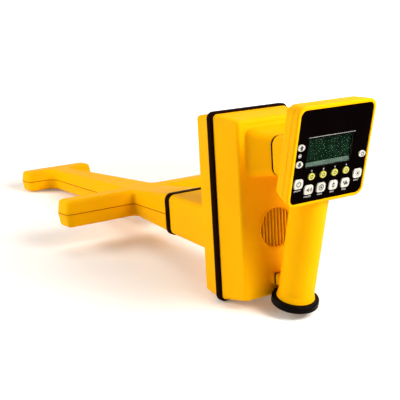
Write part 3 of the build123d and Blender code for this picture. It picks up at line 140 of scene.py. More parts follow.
class Shading:
    """A material being made: its tree, its principled shader and the object coordinates that patterns use."""

    def __init__(self, name: str) -> None:
        """Start an empty material.

        Args:
            name: name of the real material.
        """
        self.material = bpy.data.materials.new(name)
        self.tree = cleared_tree(self.material)
        self.shader = add_node(self.tree, "ShaderNodeBsdfPrincipled")
        add_node(self.tree, "ShaderNodeOutputMaterial", {"Surface": self.shader.outputs[0]})
        self.where = add_node(self.tree, "ShaderNodeTexCoord").outputs["Object"]

    def pattern(
        self, kind: str, size_mm: float, inputs: Optional[Dict[str, Any]] = None, **settings: Any
    ) -> Node:
        """Add a texture of any kind at a real size.

        Args:
            kind: Blender's name for the type of texture.
            size_mm: size on the object of one unit of the texture.
            inputs: its other inputs, or coordinates in place of the object's.
            settings: properties of the texture.

        Returns:
            The texture's node.
        """
        laid = {"Vector": self.where, "Scale": 1.0 / (size_mm * MILLIMETRE), **(inputs or {})}
        return add_node(self.tree, kind, laid, **settings)

    def tones(self, value: NodeSocket, stops: Sequence[Tuple[float, str]]) -> None:
        """Colour the surface by a value.

        Args:
            value: what picks the colour, 0 to 1.
            stops: place on the ramp and its colour, in order.
        """
        ramp = add_node(self.tree, "ShaderNodeValToRGB", {"Fac": value})
        elements = ramp.color_ramp.elements
        while len(elements) < len(stops):
            elements.new(0.5)
        for element, (place, code) in zip(elements, stops):
            element.position = place
            element.color = linear(code)
        self.tree.links.new(ramp.outputs["Color"], self.shader.inputs["Base Color"])

    def gloss(self, value: NodeSocket, least: float, most: float) -> None:
        """Let the roughness swing with a noise.

        Args:
            value: the noise.
            least: roughness at its low end.
            most: roughness at its high end.
        """
        span = {"From Min": NOISE_LOW, "From Max": NOISE_HIGH, "To Min": least, "To Max": most}
        spread = add_node(self.tree, "ShaderNodeMapRange", {"Value": value, **span})
        self.tree.links.new(spread.outputs["Result"], self.shader.inputs["Roughness"])

    def relief(self, height: NodeSocket, depth_mm: float, strength: float) -> None:
        """Bump the surface.

        Args:
            height: how high the surface stands, 0 to 1.
            depth_mm: real depth from 0 to 1.
            strength: how much of the bump shows, 0 to 1.
        """
        inputs = {"Height": height, "Strength": strength, "Distance": depth_mm * MILLIMETRE}
        bump = add_node(self.tree, "ShaderNodeBump", inputs)
        self.tree.links.new(bump.outputs["Normal"], self.shader.inputs["Normal"])

    def constants(self, **values: Any) -> None:
        """Set sockets of the shader that are the same all over, named with underscores for spaces."""
        for name, value in values.items():
            self.shader.inputs[name.replace("_", " ")].default_value = value


@dataclass(frozen=True)
class Finish:
    """Look of one real material, which gives the Blender material its name."""

    name: str

    def paint(self, shading: Shading) -> None:
        """Draw the surface, which each kind of finish does in its own way."""
        raise NotImplementedError

    def material(self) -> Material:
        """Build the material.

        Returns:
            The Blender material under the real one's name.
        """
        shading = Shading(self.name)
        self.paint(shading)
        return shading.material


@dataclass(frozen=True)
class MouldedPlastic(Finish):
    """Injection-moulded plastic: an even colour, a fine spark-eroded grain and a satin sheen."""

    colour: str
    deep_colour: str
    roughness: float = 0.42
    swing: float = 0.06
    patch_mm: float = 60.0
    grain_mm: float = 1.2
    grain_depth_mm: float = 0.03
    specular: float = 0.25
    sheen_share: float = 0.3

    def paint(self, shading: Shading) -> None:
        """Plastic with slow tone patches, as melt flow leaves in a large moulding, and a fine grain.

        Args:
            shading: the material being made.
        """
        patches = shading.pattern(NOISE, self.patch_mm, {"Detail": 3.0})
        shading.tones(patches.outputs["Fac"], [(0.3, self.deep_colour), (0.62, self.colour)])
        sheen = shading.pattern(NOISE, self.patch_mm * self.sheen_share, {"Detail": 4.0})
        shading.gloss(sheen.outputs["Fac"], self.roughness - self.swing, self.roughness + self.swing)
        # The grain is a few tenths of a millimetre in life, drawn coarser so that it shows
        grain = shading.pattern(NOISE, self.grain_mm, {"Detail": 2.0})
        shading.relief(grain.outputs["Fac"], self.grain_depth_mm, strength=0.35)
        shading.constants(IOR=1.5, Specular_IOR_Level=self.specular)


@dataclass(frozen=True)
class SoftRubber(Finish):
    """Moulded rubber or foam: dull, with faint dust and fine pores."""

    colour: str
    dust_colour: str
    roughness: float = 0.6
    pore_mm: float = 0.9
    pore_depth_mm: float = 0.05
    specular: float = 0.15
    dust_mm: float = 14.0

    def paint(self, shading: Shading) -> None:
        """Rubber whose dust and pores break its sheen.

        Args:
            shading: the material being made.
        """
        dust = shading.pattern(NOISE, self.dust_mm, {"Detail": 6.0}).outputs["Fac"]
        shading.tones(dust, [(0.45, self.colour), (0.85, self.dust_colour)])
        shading.gloss(dust, least=self.roughness - 0.08, most=self.roughness + 0.12)
        pores = shading.pattern("ShaderNodeTexVoronoi", self.pore_mm)
        shading.relief(pores.outputs["Distance"], self.pore_depth_mm, strength=0.4)
        shading.constants(IOR=1.52, Specular_IOR_Level=self.specular)


@dataclass(frozen=True)
class PrintedFilm(Finish):
    """Polyester film printed from behind: a velvet-textured face over deep black, with a soft sheen painted
    as lighter clouds in its colour.
    """

    colour: str
    painted_sheen_colour: str
    roughness: float = 0.38
    texture_mm: float = 0.7
    specular: float = 0.06
    cloud_mm: float = 30.0

    def paint(self, shading: Shading) -> None:
        """Film with a fine velvet texture and slight clouds of painted sheen.

        Args:
            shading: the material being made.
        """
        clouds = shading.pattern(NOISE, self.cloud_mm, {"Detail": 3.0})
        shading.tones(clouds.outputs["Fac"], [(0.35, self.colour), (0.8, self.painted_sheen_colour)])
        # Velvet texture of about 0.2 mm, drawn coarser so that it shows
        velvet = shading.pattern(NOISE, self.texture_mm, {"Detail": 1.0}).outputs["Fac"]
        shading.gloss(velvet, least=self.roughness - 0.05, most=self.roughness + 0.08)
        shading.relief(velvet, depth_mm=0.02, strength=0.25)
        shading.constants(IOR=1.5, Specular_IOR_Level=self.specular)


@dataclass(frozen=True)
class ClearAcrylic(Finish):
    """Clear sheet with an anti-glare coat, which kills most of its reflection, and faint wiping marks."""

    colour: str
    smear_mm: float = 9.0
    wave_mm: float = 36.0

    def paint(self, shading: Shading) -> None:
        """Clear plastic with a trace of smears.

        Args:
            shading: the material being made.
        """
        smears = shading.pattern(NOISE, self.smear_mm, {"Detail": 5.0})
        shading.gloss(smears.outputs["Fac"], least=0.02, most=0.09)
        waves = shading.pattern(NOISE, self.wave_mm, {"Detail": 1.0})
        shading.relief(waves.outputs["Fac"], depth_mm=0.01, strength=0.05)
        shading.constants(Base_Color=linear(self.colour), IOR=1.04, Transmission_Weight=1.0)


@dataclass(frozen=True)
class DotMatrixGlass(Finish):
    """Unlit reflective display: dark green polariser over a fine grid of picture dots."""

    colour: str
    glow_colour: str
    grid_colour: str
    dot_mm: float = 1.0
    line_mm: float = 0.09
    cloud_mm: float = 24.0
    turn_deg: float = 0.0

    def paint(self, shading: Shading) -> None:
        """Green glass that lightens in slow clouds, with the dots' grid just showing.

        Args:
            shading: the material being made.
        """
        # Dots are about 0.4 mm in life, drawn coarser so that the grid shows
        # They are turned about X into the plane of the display, which leans with the head
        turn = {"Vector": shading.where, "Rotation": (math.radians(self.turn_deg), 0.0, 0.0)}
        turned = add_node(shading.tree, "ShaderNodeMapping", turn)
        grid = shading.pattern(
            "ShaderNodeTexBrick",
            size_mm=1.0,
            inputs={
                "Vector": turned.outputs["Vector"],
                "Color1": (1.0, 1.0, 1.0, 1.0),
                "Color2": (0.9, 0.9, 0.9, 1.0),
                "Mortar": (0.0, 0.0, 0.0, 1.0),
                "Mortar Size": self.line_mm / 2,
                "Brick Width": self.dot_mm,
                "Row Height": self.dot_mm,
            },
            offset=0.0,
        )
        cloud = shading.pattern(NOISE, self.cloud_mm, {"Detail": 2.0}).outputs["Fac"]
        dimmed = add_node(
            shading.tree, MATHS, {0: grid.outputs["Color"], 1: cloud}, operation="MULTIPLY"
        )
        stops = [(0.0, self.grid_colour), (0.28, self.colour), (0.75, self.glow_colour)]
        shading.tones(dimmed.outputs[0], stops)
        shading.gloss(cloud, least=0.16, most=0.24)
        shading.relief(grid.outputs["Fac"], depth_mm=0.01, strength=0.1)
        shading.constants(IOR=1.5, Specular_IOR_Level=0.01)


@dataclass(frozen=True)
class WorkedMetal(Finish):
    """Plated or drawn metal: fine lines from the tool, and patches of handling that dull it."""

    colour: str
    tarnish: str
    roughness: float = 0.3
    swing: float = 0.08
    line_mm: float = 0.6
    line_stretch: float = 20.0
    tarnish_mm: float = 7.0

    def paint(self, shading: Shading) -> None:
        """Metal with drawn lines along X.

        Args:
            shading: the material being made.
        """
        patches = shading.pattern(NOISE, self.tarnish_mm, {"Detail": 4.0})
        shading.tones(patches.outputs["Fac"], [(0.35, self.tarnish), (0.6, self.colour)])
        stretch = {"Vector": shading.where, "Scale": (1.0 / self.line_stretch, 1.0, 1.0)}
        drawn = add_node(shading.tree, "ShaderNodeMapping", stretch).outputs["Vector"]
        lines = shading.pattern(NOISE, self.line_mm, {"Vector": drawn, "Detail": 2.0}).outputs["Fac"]
        shading.gloss(lines, self.roughness - self.swing, self.roughness + self.swing)
        shading.relief(lines, depth_mm=0.01, strength=0.2)
        shading.constants(Metallic=1.0)


@dataclass(frozen=True)
class SolderMask(Finish):
    """Glass-epoxy board under green lacquer: copper tracks show as lighter bands beneath the gloss."""

    colour: str
    track_colour: str
    track_mm: float = 2.2
    sheen_mm: float = 5.0

    def paint(self, shading: Shading) -> None:
        """Lacquered board with a net of tracks.

        Args:
            shading: the material being made.
        """
        net = shading.pattern(
            "ShaderNodeTexVoronoi",
            self.track_mm,
            {"Randomness": 0.6},
            distance="CHEBYCHEV",
            feature="F1",
        )
        shading.tones(net.outputs["Distance"], [(0.3, self.colour), (0.55, self.track_colour)])
        sheen = shading.pattern(NOISE, self.sheen_mm, {"Detail": 2.0})
        shading.gloss(sheen.outputs["Fac"], least=0.22, most=0.34)
        shading.relief(net.outputs["Distance"], depth_mm=0.03, strength=0.3)
        shading.constants(IOR=1.55)


@dataclass(frozen=True)
class EnamelledWinding(Finish):
    """Layers of enamelled copper wire laid side by side round a rod along X."""

    colour: str
    shade_colour: str
    wire_mm: float = 0.8
    sheen_mm: float = 6.0

    def paint(self, shading: Shading) -> None:
        """Copper with one ridge for each turn of wire.

        Args:
            shading: the material being made.
        """
        # A wave texture repeats every tenth of a unit times pi, so this size gives one wave for each wire
        turns = shading.pattern(
            "ShaderNodeTexWave", self.wire_mm * 10 / math.pi, {"Distortion": 0.4}, bands_direction="X"
        )
        shading.tones(turns.outputs["Fac"], [(0.1, self.shade_colour), (0.6, self.colour)])
        sheen = shading.pattern(NOISE, self.sheen_mm, {"Detail": 3.0})
        shading.gloss(sheen.outputs["Fac"], least=0.24, most=0.36)
        shading.relief(turns.outputs["Fac"], depth_mm=0.3, strength=0.8)
        shading.constants(Metallic=1.0)


@dataclass(frozen=True)
class PrintedInk(Finish):
    """Screen-printed ink: a matt coat with slightly uneven cover."""

    colour: str
    thin_colour: str
    screen_mm: float = 0.5

    def paint(self, shading: Shading) -> None:
        """Ink with the mesh of the screen just showing in its cover.

        Args:
            shading: the material being made.
        """
        cover = shading.pattern(NOISE, self.screen_mm, {"Detail": 2.0}).outputs["Fac"]
        shading.tones(cover, [(0.3, self.thin_colour), (0.5, self.colour)])
        shading.gloss(cover, least=0.45, most=0.6)
        shading.constants(IOR=1.5)


YELLOW_ABS = MouldedPlastic("abs_moulded_yellow", "#FFB800", "#FEB300", roughness=0.5, specular=0.025)
BLACK_ABS = MouldedPlastic(
    "abs_moulded_black", "#090605", "#060403", roughness=0.36, patch_mm=25.0, specular=0.03
)
LINER_ABS = MouldedPlastic("abs_moulded_dark_grey", "#171C18", "#111512", roughness=0.5, patch_mm=12.0)
# The sill's plastic is the liner's, painted lighter grey: painted light from above on the window's bottom
# slope
SILL_PAINTED_LIGHT_ABS = MouldedPlastic("abs_moulded_grey_painted_light", "#4B554D", "#414A43", roughness=0.5, patch_mm=12.0)
DARK_INK = PrintedInk("pad_printed_grey_ink", "#262421", "#383631")
BLACK_INK = PrintedInk("pad_printed_black_ink", "#141210", "#2A2826")
OLIVE_INK = PrintedInk("pad_printed_olive_ink", "#45421A", "#57531F")
WHITE_INK = PrintedInk("screen_printed_white_ink", "#D9D6D0", "#A8A5A0")
# The cord's brown is painted shade: it darkens the seam as the groove's shadow would
SEAM_SHADE_CORD_RUBBER = SoftRubber("silicone_cord_painted_seam_shade", "#A64404", "#B24E08", roughness=0.55, specular=0.02)
BORDER_INK = PrintedInk("screen_printed_black_ink", "#060404", "#0A0707")
KEY_COAT = {"roughness": 0.45, "swing": 0.05, "patch_mm": 9.0, "grain_mm": 0.8, "grain_depth_mm": 0.02}

SLOT_FINISHES: Dict[str, Finish] = {
    "yellow_housing": YELLOW_ABS,
    "black_rubber": SoftRubber("epdm_rubber_black", "#1B0803", "#140502", roughness=0.5, specular=0.005),
    "black_cap": BLACK_ABS,
    "white_key": MouldedPlastic("silicone_coated_key_white", "#D3CFC2", "#CAC5B6", **KEY_COAT),
    "yellow_key": MouldedPlastic("silicone_coated_key_yellow", "#CCC45C", "#C4BB4C", **KEY_COAT),
    "key_rubber": SoftRubber("silicone_rubber_grey", "#3A3B3E", "#4A4B4E"),
    "panel_film": PrintedFilm("polyester_film_black", "#060303", "#080505", specular=0.0),
    "clear_pane": ClearAcrylic("acrylic_clear", "#F4FFF8"),
    "display_cell": DotMatrixGlass("display_glass_green", "#081A0D", "#0C2012", "#040D07", turn_deg=-82.3),
    "circuit_board": SolderMask("glass_epoxy_board_green", "#0F4A26", "#1F6B3A"),
    "board_parts": MouldedPlastic(
        "epoxy_moulded_black", "#1A1A1C", "#121214", roughness=0.5, swing=0.08, patch_mm=8.0, grain_mm=0.7
    ),
    "tinned_steel": WorkedMetal("tinned_steel", "#C9C7BF", "#AFADA5", roughness=0.32),
    "screw_steel": WorkedMetal("zinc_plated_steel", "#BDBDB8", "#9A9A96", roughness=0.34),
    "ferrite": MouldedPlastic(
        "sintered_ferrite",
        "#2B2A2C",
        "#222123",
        roughness=0.55,
        swing=0.08,
        patch_mm=10.0,
        grain_mm=0.6,
        grain_depth_mm=0.05,
    ),
    "copper_winding": EnamelledWinding("enamelled_copper_wire", "#C56A34", "#6B2F14"),
    "speaker_paper": SoftRubber(
        "coated_paper_brown", "#8C3312", "#9A421A", roughness=0.75, pore_mm=1.4, pore_depth_mm=0.08
    ),
    "foam": SoftRubber(
        "foam_black", "#161616", "#262626", roughness=0.85, pore_mm=0.7, pore_depth_mm=0.2
    ),
    "nickel": WorkedMetal("nickel_plated_brass", "#C8C2B4", "#AAA498", roughness=0.22),
    "lead_jacket": SoftRubber("pvc_jacket_grey", "#2A2B2E", "#3A3B3E", roughness=0.5),
    "carrier_plastic": MouldedPlastic("polypropylene_black", "#1B1B1D", "#141416", roughness=0.5),
    "cell_jacket": MouldedPlastic(
        "cell_shrink_sleeve",
        "#3C5A86",
        "#334E78",
        roughness=0.3,
        swing=0.05,
        patch_mm=15.0,
        grain_mm=2.0,
        grain_depth_mm=0.02,
    ),
    "brass_contact": WorkedMetal("brass_sheet", "#C9A24A", "#9F7C32", roughness=0.28),
}


def link_object(name: str, data: ID) -> Object:
    """Put a new object into the scene.

    Args:
        name: name of the object.
        data: mesh, lettering, lamp or camera that it shows.

    Returns:
        The object, at the origin.
    """
    made = bpy.data.objects.new(name, data)
    bpy.context.scene.collection.objects.link(made)
    return made


class Workshop:
    """Keeps one material for each finish and puts pieces into the scene."""

    def __init__(self) -> None:
        """Start with nothing made."""
        self.made: Dict[str, Material] = {}

    def material(self, finish: Finish) -> Material:
        """Give the material of a finish, built the first time it is asked for.

        Args:
            finish: the finish.

        Returns:
            Its material.
        """
        if finish.name not in self.made:
            self.made[finish.name] = finish.material()
        return self.made[finish.name]

    def place(self, name: str, mesh: Mesh, body: str, slot: str, finish: Finish) -> None:
        """Make a finished mesh a piece that rides on a body.

        Args:
            name: name of the piece.
            mesh: mesh in metres, where it belongs.
            body: body of the frame that carries it.
            slot: material slot of the record, not used.
            finish: what it is made of.
        """
        piece = link_object(name, mesh)
        mesh.materials.clear()
        mesh.materials.append(self.material(finish))
        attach(piece, body)
        LOG.info("piece %s on %s: %d faces", name, body, len(mesh.polygons))

    def dress(self, frame: Dict[str, Any]) -> None:
        """Give each solid of the frame the finish of its slot.
        """
        for subpart in frame["record"]["subparts"]:
            node = frame["nodes"][subpart["node"]]
            finish = SLOT_FINISHES[subpart["material_slot"]]
            for slot in node.material_slots:
                slot.material = self.material(finish)
            LOG.info("solid %s in %s", node.name, finish.name)


@dataclass
class Layout:
    """Where the box and the panel lie, as frames with millimetres for units."""

    grip_lean: float = 14.5
    overlay_mm: float = 0.8
    box: Matrix = field(default_factory=Matrix)
    panel: Matrix = field(default_factory=Matrix)
    tilt: float = 0.0

    @classmethod
    def from_frame(cls, frame: Dict[str, Any]) -> "Layout":
        """Find the frames from the solids and the keys' way in.


        Returns:
            The layout as the receiver lies.
        """
        made = cls()
        press = next(joint for joint in frame["joints"] if joint["name"] == "power_key_press")
        inward = Vector(press["axis"])
        scale = Matrix.Scale(MILLIMETRE, 4)
        made.tilt = made.grip_lean - math.degrees(math.asin(inward.z))
        low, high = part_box("box_gasket")
        leaning = Matrix.Rotation(-math.radians(made.tilt), 4, "X")
        made.box = Matrix.Translation((low + high) / 2) @ leaning @ scale
        outward = -inward.normalized()
        right = Vector((1.0, 0.0, 0.0))
        up = outward.cross(right)
        low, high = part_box("panel_overlay")
        face = (low + high) / 2 + outward * made.overlay_mm * MILLIMETRE / 2
        turn = Matrix((right, up, outward)).transposed().to_4x4()
        made.panel = Matrix.Translation(face) @ turn @ scale
        return made

    def key_spot(self, node: str) -> Point:
        """Find a key on the panel.

        Args:
            node: name of the key.

        Returns:
            Its middle in the panel's millimetres.
        """
        low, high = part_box(node)
        spot = self.panel.inverted() @ ((low + high) / 2)
        return spot.x, spot.y


def skin(shape: BMesh, loops: List[List[BMVert]], closed: bool) -> None:
    """Join loops of vertices by faces.

    Args:
        shape: what takes the faces.
        loops: loops with the same number of vertices, in order.
        closed: whether the last loop joins the first, or both ends get a cap.
    """
    for one, other in zip(loops, loops[1:] + (loops[:1] if closed else [])):
        for side in range(len(one)):
            after = (side + 1) % len(one)
            shape.faces.new((one[side], one[after], other[after], other[side]))
    if not closed:
        shape.faces.new(loops[0][::-1])
        shape.faces.new(loops[-1])


def plain_mesh(name: str, shape: BMesh, place: Matrix) -> Mesh:
    """Turn a drawn shape into a mesh.

    Args:
        name: name of the mesh.
        shape: what was drawn, in millimetres, which is used up.
        place: frame that it is laid in.

    Returns:
        The mesh in metres, where it belongs.
    """
    bmesh.ops.recalc_face_normals(shape, faces=shape.faces)
    made = bpy.data.meshes.new(name)
    shape.to_mesh(made)
    shape.free()
    made.transform(place)
    return made


class Artwork:
    """Flat printed shapes in millimetres, raised to a thin film of ink or a plate."""

    def __init__(self, low: float, high: float) -> None:
        """Start with nothing drawn.

        Args:
            low: height above the panel at which the shapes start.
            high: height to which they rise.
        """
        self.low = low
        self.high = high
        self.shapes = bmesh.new()

    def outline(self, points: Sequence[Point]) -> None:
        """Add a filled outline.

        Args:
            points: its corners in order.
        """
        bottom = [self.shapes.verts.new((u, v, self.low)) for u, v in points]
        top = [self.shapes.verts.new((u, v, self.high)) for u, v in points]
        skin(self.shapes, [bottom, top], closed=False)

    def disc(self, spot: Point, radius: float, steps: int = 24) -> None:
        """Add a filled circle."""
        angles = [2 * math.pi * step / steps for step in range(steps)]
        self.outline([(spot[0] + radius * math.cos(a), spot[1] + radius * math.sin(a)) for a in angles])

    def arc(self, spot: Point, radius: float, width: float, start: float = 0.0, sweep: float = 360.0) -> None:
        """Add a ring, or part of one.

        Args:
            spot: centre.
            radius: to the middle of the line.
            width: of the line.
            start: angle of the first end in degrees.
            sweep: angle covered in degrees.
        """
        steps = max(LEAST_ARC_STEPS, int(sweep / ARC_STEP_DEG))
        closed = sweep >= 360.0
        inner, outer = radius - width / 2, radius + width / 2
        corners = ((inner, self.low), (outer, self.low), (outer, self.high), (inner, self.high))
        loops = []
        for step in range(steps if closed else steps + 1):
            angle = math.radians(start + sweep * step / steps)
            u, v = math.cos(angle), math.sin(angle)
            loops.append([self.shapes.verts.new((spot[0] + r * u, spot[1] + r * v, h)) for r, h in corners])
        skin(self.shapes, loops, closed)

    def stroke(self, points: Sequence[Point], width: float) -> None:
        """Add a line of even width.

        Args:
            points: what it runs through.
            width: of the line.
        """
        left: List[Point] = []
        right: List[Point] = []
        for here, (u, v) in enumerate(points):
            before = points[max(here - 1, 0)]
            after = points[min(here + 1, len(points) - 1)]
            run = Vector((after[0] - before[0], after[1] - before[1])).normalized() * width / 2
            left.append((u - run.y, v + run.x))
            right.append((u + run.y, v - run.x))
        self.outline(right + left[::-1])

    def words(self, text: str, spot: Point, size: float) -> None:
        """Add lettering.

        Args:
            text: what it says.
            spot: its middle.
            size: of the letters.
        """
        letters = bpy.data.curves.new("lettering", "FONT")
        letters.body = text
        letters.size = size
        letters.align_x = "CENTER"
        letters.align_y = "CENTER"
        letters.extrude = (self.high - self.low) / 2
        letters.resolution_u = LETTER_STEPS
        holder = link_object("lettering", letters)
        mesh = bpy.data.meshes.new_from_object(holder.evaluated_get(bpy.context.evaluated_depsgraph_get()))
        mesh.transform(Matrix.Translation((spot[0], spot[1], (self.low + self.high) / 2)))
        self.shapes.from_mesh(mesh)
        bpy.data.objects.remove(holder)
        bpy.data.curves.remove(letters)
        bpy.data.meshes.remove(mesh)

    def mesh(self, name: str, place: Matrix) -> Mesh:
        """Close the drawing.

        Args:
            name: name of the mesh.
            place: frame that the drawing is laid in.

        Returns:
            The mesh in metres, where it belongs.
        """
        bmesh.ops.remove_doubles(self.shapes, verts=self.shapes.verts, dist=INK_WELD_MM)
        return plain_mesh(name, self.shapes, place)


def run_tree(
    name: str,
    tree: NodeTree,
    sizes: Dict[str, Any],
    place: Matrix,
    start: Optional[Mesh] = None,
) -> Mesh:
    """Run a geometry tree once and keep its result as a plain mesh.

    Args:
        name: name of the mesh.
        tree: tree that makes the geometry.
        sizes: its named inputs.
        place: frame that the result is laid in.
        start: mesh that the tree starts from, if it needs one.

    Returns:
        The mesh in metres, where it belongs.
    """
    holder = link_object(name + "_holder", start or bpy.data.meshes.new(name + "_holder"))
    modifier = holder.modifiers.new("shape", "NODES")
    modifier.node_group = tree
    for item in tree.interface.items_tree:
        if item.item_type == "SOCKET" and item.in_out == "INPUT" and item.name in sizes:
            modifier[item.identifier] = sizes[item.name]
    evaluated = holder.evaluated_get(bpy.context.evaluated_depsgraph_get())
    made = bpy.data.meshes.new_from_object(evaluated)
    made.name = name
    holder.modifiers.remove(modifier)
    bpy.data.objects.remove(holder)
    made.transform(place)
    return made


def new_tree(name: str, lengths: Sequence[str], counts: Sequence[str] = ()) -> NodeTree:
    """Start a geometry tree with named inputs.

    Args:
        name: name of the tree.
        lengths: names of the inputs that are lengths or other fractions.
        counts: names of the inputs that are whole numbers.

    Returns:
        The tree, which takes a geometry, those inputs and a material, and gives out one geometry.
    """
    tree = bpy.data.node_groups.new(name, "GeometryNodeTree")
    kinds = [("Start", "NodeSocketGeometry"), *((title, "NodeSocketInt") for title in counts)]
    kinds += [*((title, "NodeSocketFloat") for title in lengths), ("Material", "NodeSocketMaterial")]
    for title, kind in kinds:
        tree.interface.new_socket(title, in_out="INPUT", socket_type=kind)
    tree.interface.new_socket("Geometry", in_out="OUTPUT", socket_type="NodeSocketGeometry")
    return tree


def sweep_round(tree: NodeTree, curve: NodeSocket, radius: NodeSocket) -> NodeSocket:
    """Sweep a round bar with closed ends along a curve.

    Args:
        tree: tree that takes the nodes.
        curve: line that the bar follows.
        radius: of the bar.

    Returns:
        The bar's mesh.
    """
    section = add_node(
        tree, "GeometryNodeCurvePrimitiveCircle", {"Resolution": ROUND_SIDES, "Radius": radius}
    )
    bar = add_node(
        tree,
        "GeometryNodeCurveToMesh",
        {"Curve": curve, "Profile Curve": section.outputs["Curve"], "Fill Caps": True},
    )
    return bar.outputs["Mesh"]


def end_tree(tree: NodeTree, geometry: NodeSocket, material: NodeSocket) -> None:
    """Close a geometry tree with real meshes, smooth shading and a material.

    Args:
        tree: the tree.
        geometry: what it has made.
        material: what that is made of.
    """
    real = add_node(tree, "GeometryNodeRealizeInstances", {"Geometry": geometry})
    smooth = add_node(tree, "GeometryNodeSetShadeSmooth", {"Geometry": real.outputs["Geometry"]})
    dressed = add_node(
        tree, "GeometryNodeSetMaterial", {"Geometry": smooth.outputs["Geometry"], "Material": material}
    )
    add_node(tree, "NodeGroupOutput", {"Geometry": dressed.outputs["Geometry"]})


@dataclass
class Grille:
    """Rounded bars over the slots of the speaker's grille in the front face of the box, in millimetres."""

    face_depth: float = 43.7
    sink: float = 1.0
    drop: float = 23.7
    radius: float = 22.4
    pitch: float = 4.5
    bars: int = 9
    bar_width: float = 2.1
    bar_rise: float = 0.75
    bar_sides: int = 20

    def tree(self) -> NodeTree:
        """Stand bars along a line, each as long as the circle is high there.

        Returns:
            The tree, with named inputs for its sizes.
        """
        tree = new_tree("grille_bars", ("Pitch", "Radius", "Bar Width", "Bar Rise"), counts=("Bars",))
        sizes = add_node(tree, "NodeGroupInput").outputs
        gaps = add_node(tree, MATHS, {0: sizes["Bars"], 1: 1.0}, operation="SUBTRACT").outputs[0]
        length = add_node(tree, MATHS, {0: gaps, 1: sizes["Pitch"]}, operation="MULTIPLY").outputs[0]
        left = add_node(tree, MATHS, {0: length, 1: -0.5}, operation="MULTIPLY").outputs[0]
        start = add_node(tree, "ShaderNodeCombineXYZ", {"X": left})
        step = add_node(tree, "ShaderNodeCombineXYZ", {"X": sizes["Pitch"]})
        line = add_node(
            tree,
            "GeometryNodeMeshLine",
            {"Count": sizes["Bars"], "Start Location": start.outputs[0], "Offset": step.outputs[0]},
            mode="OFFSET",
        )
        bar = add_node(
            tree, "GeometryNodeMeshCylinder", {"Vertices": self.bar_sides, "Radius": 1.0, "Depth": 2.0}
        )
        position = add_node(tree, "GeometryNodeInputPosition").outputs[0]
        x = add_node(tree, "ShaderNodeSeparateXYZ", {"Vector": position}).outputs["X"]
        radius = sizes["Radius"]
        aside_squared = add_node(tree, MATHS, {0: x, 1: x}, operation="MULTIPLY").outputs[0]
        radius_squared = add_node(tree, MATHS, {0: radius, 1: radius}, operation="MULTIPLY").outputs[0]
        rest = add_node(tree, MATHS, {0: radius_squared, 1: aside_squared}, operation="SUBTRACT").outputs[0]
        half = add_node(tree, MATHS, {0: rest}, operation="SQRT").outputs[0]
        thick = add_node(tree, MATHS, {0: sizes["Bar Width"], 1: 0.5}, operation="MULTIPLY").outputs[0]
        shape = add_node(tree, "ShaderNodeCombineXYZ", {"X": thick, "Y": sizes["Bar Rise"], "Z": half})
        placed = add_node(
            tree,
            "GeometryNodeInstanceOnPoints",
            {"Points": line.outputs["Mesh"], "Instance": bar.outputs["Mesh"], "Scale": shape.outputs[0]},
        )
        end_tree(tree, placed.outputs["Instances"], sizes["Material"])
        return tree

    def build(self, layout: Layout, workshop: Workshop) -> None:
        """Lay the bars on the floor of the grille's recess.

        Args:
            layout: where the box and the panel lie.
            workshop: keeper of the materials, which takes the pieces.
        """
        sizes = {
            "Bars": self.bars,
            "Pitch": self.pitch,
            "Radius": self.radius,
            "Bar Width": self.bar_width,
            "Bar Rise": self.bar_rise,
            "Material": workshop.material(YELLOW_ABS),
        }
        seat = Matrix.Translation((0.0, self.sink - self.face_depth, -self.drop))
        mesh = run_tree("grille_bars", self.tree(), sizes, layout.box @ seat)
        workshop.place("grille_bars", mesh, RECEIVER, "yellow_housing", YELLOW_ABS)


class Mark(Enum):
    """Signs on the keys."""

    POWER = "power"
    VOLUME = "volume"
    MODE = "mode"
    GAIN = "gain"
    FREQUENCY = "frequency"
    LIGHT = "light"
    UP = "up"
    DOWN = "down"
    SELECT = "select"
    SOFT = "soft"

    def draw(self, art: Artwork, spot: Point) -> None:
        """Draw the sign round a spot.

        Args:
            art: drawing that takes it.
            spot: middle of the key's top in millimetres.
        """
        u, v = spot

        def moved(points: Sequence[Point]) -> List[Point]:
            """Points moved from the origin to the key."""
            return [(u + x, v + y) for x, y in points]

        if self is Mark.POWER:
            art.arc(spot, radius=2.6, width=1.1, start=120.0, sweep=300.0)
            art.stroke(moved([(0.0, 0.3), (0.0, 3.7)]), width=1.1)
        elif self is Mark.VOLUME:
            horn = [(-3.0, -1.0), (-1.8, -1.0), (0.0, -2.6), (0.0, 2.6), (-1.8, 1.0), (-3.0, 1.0)]
            art.outline(moved(horn))
            for radius in (1.7, 3.4):
                art.arc(spot, radius, width=1.0, start=-42.0, sweep=84.0)
        elif self is Mark.MODE:
            art.arc(spot, radius=2.9, width=1.0)
            art.disc(spot, radius=1.4)
        elif self is Mark.GAIN:
            wedge = [(-2.4, 0.5), (2.4, 0.5), (0.0, 3.4)]
            for side in (-1, 1):
                art.outline(moved([(x, side * y) for x, y in wedge][::side]))
        elif self is Mark.FREQUENCY:
            length, crest, waves, steps = 6.4, 1.9, 2, 24
            shares = [step / steps for step in range(steps + 1)]
            line = [(length * (s - 0.5), crest * math.sin(2 * math.pi * waves * s)) for s in shares]
            art.stroke(moved(line), width=1.1)
        elif self is Mark.LIGHT:
            rays, near, far = 8, 2.1, 3.3
            art.disc(spot, radius=1.4)
            for ray in range(rays):
                angle = 2 * math.pi * ray / rays
                ends = [(reach * math.cos(angle), reach * math.sin(angle)) for reach in (near, far)]
                art.stroke(moved(ends), width=0.85)
        elif self is Mark.UP or self is Mark.DOWN:
            side = 1 if self is Mark.UP else -1
            stem = [(-1.6, -0.1), (-1.6, -2.6), (1.6, -2.6), (1.6, -0.1)]
            arrow = [(-3.1, -0.1), *stem, (3.1, -0.1), (0.0, 2.8)]
            art.outline(moved([(x, side * y) for x, y in arrow]))
        elif self is Mark.SELECT:
            art.arc(spot, radius=1.8, width=1.1)
        else:
            art.arc(spot, radius=1.6, width=0.9)


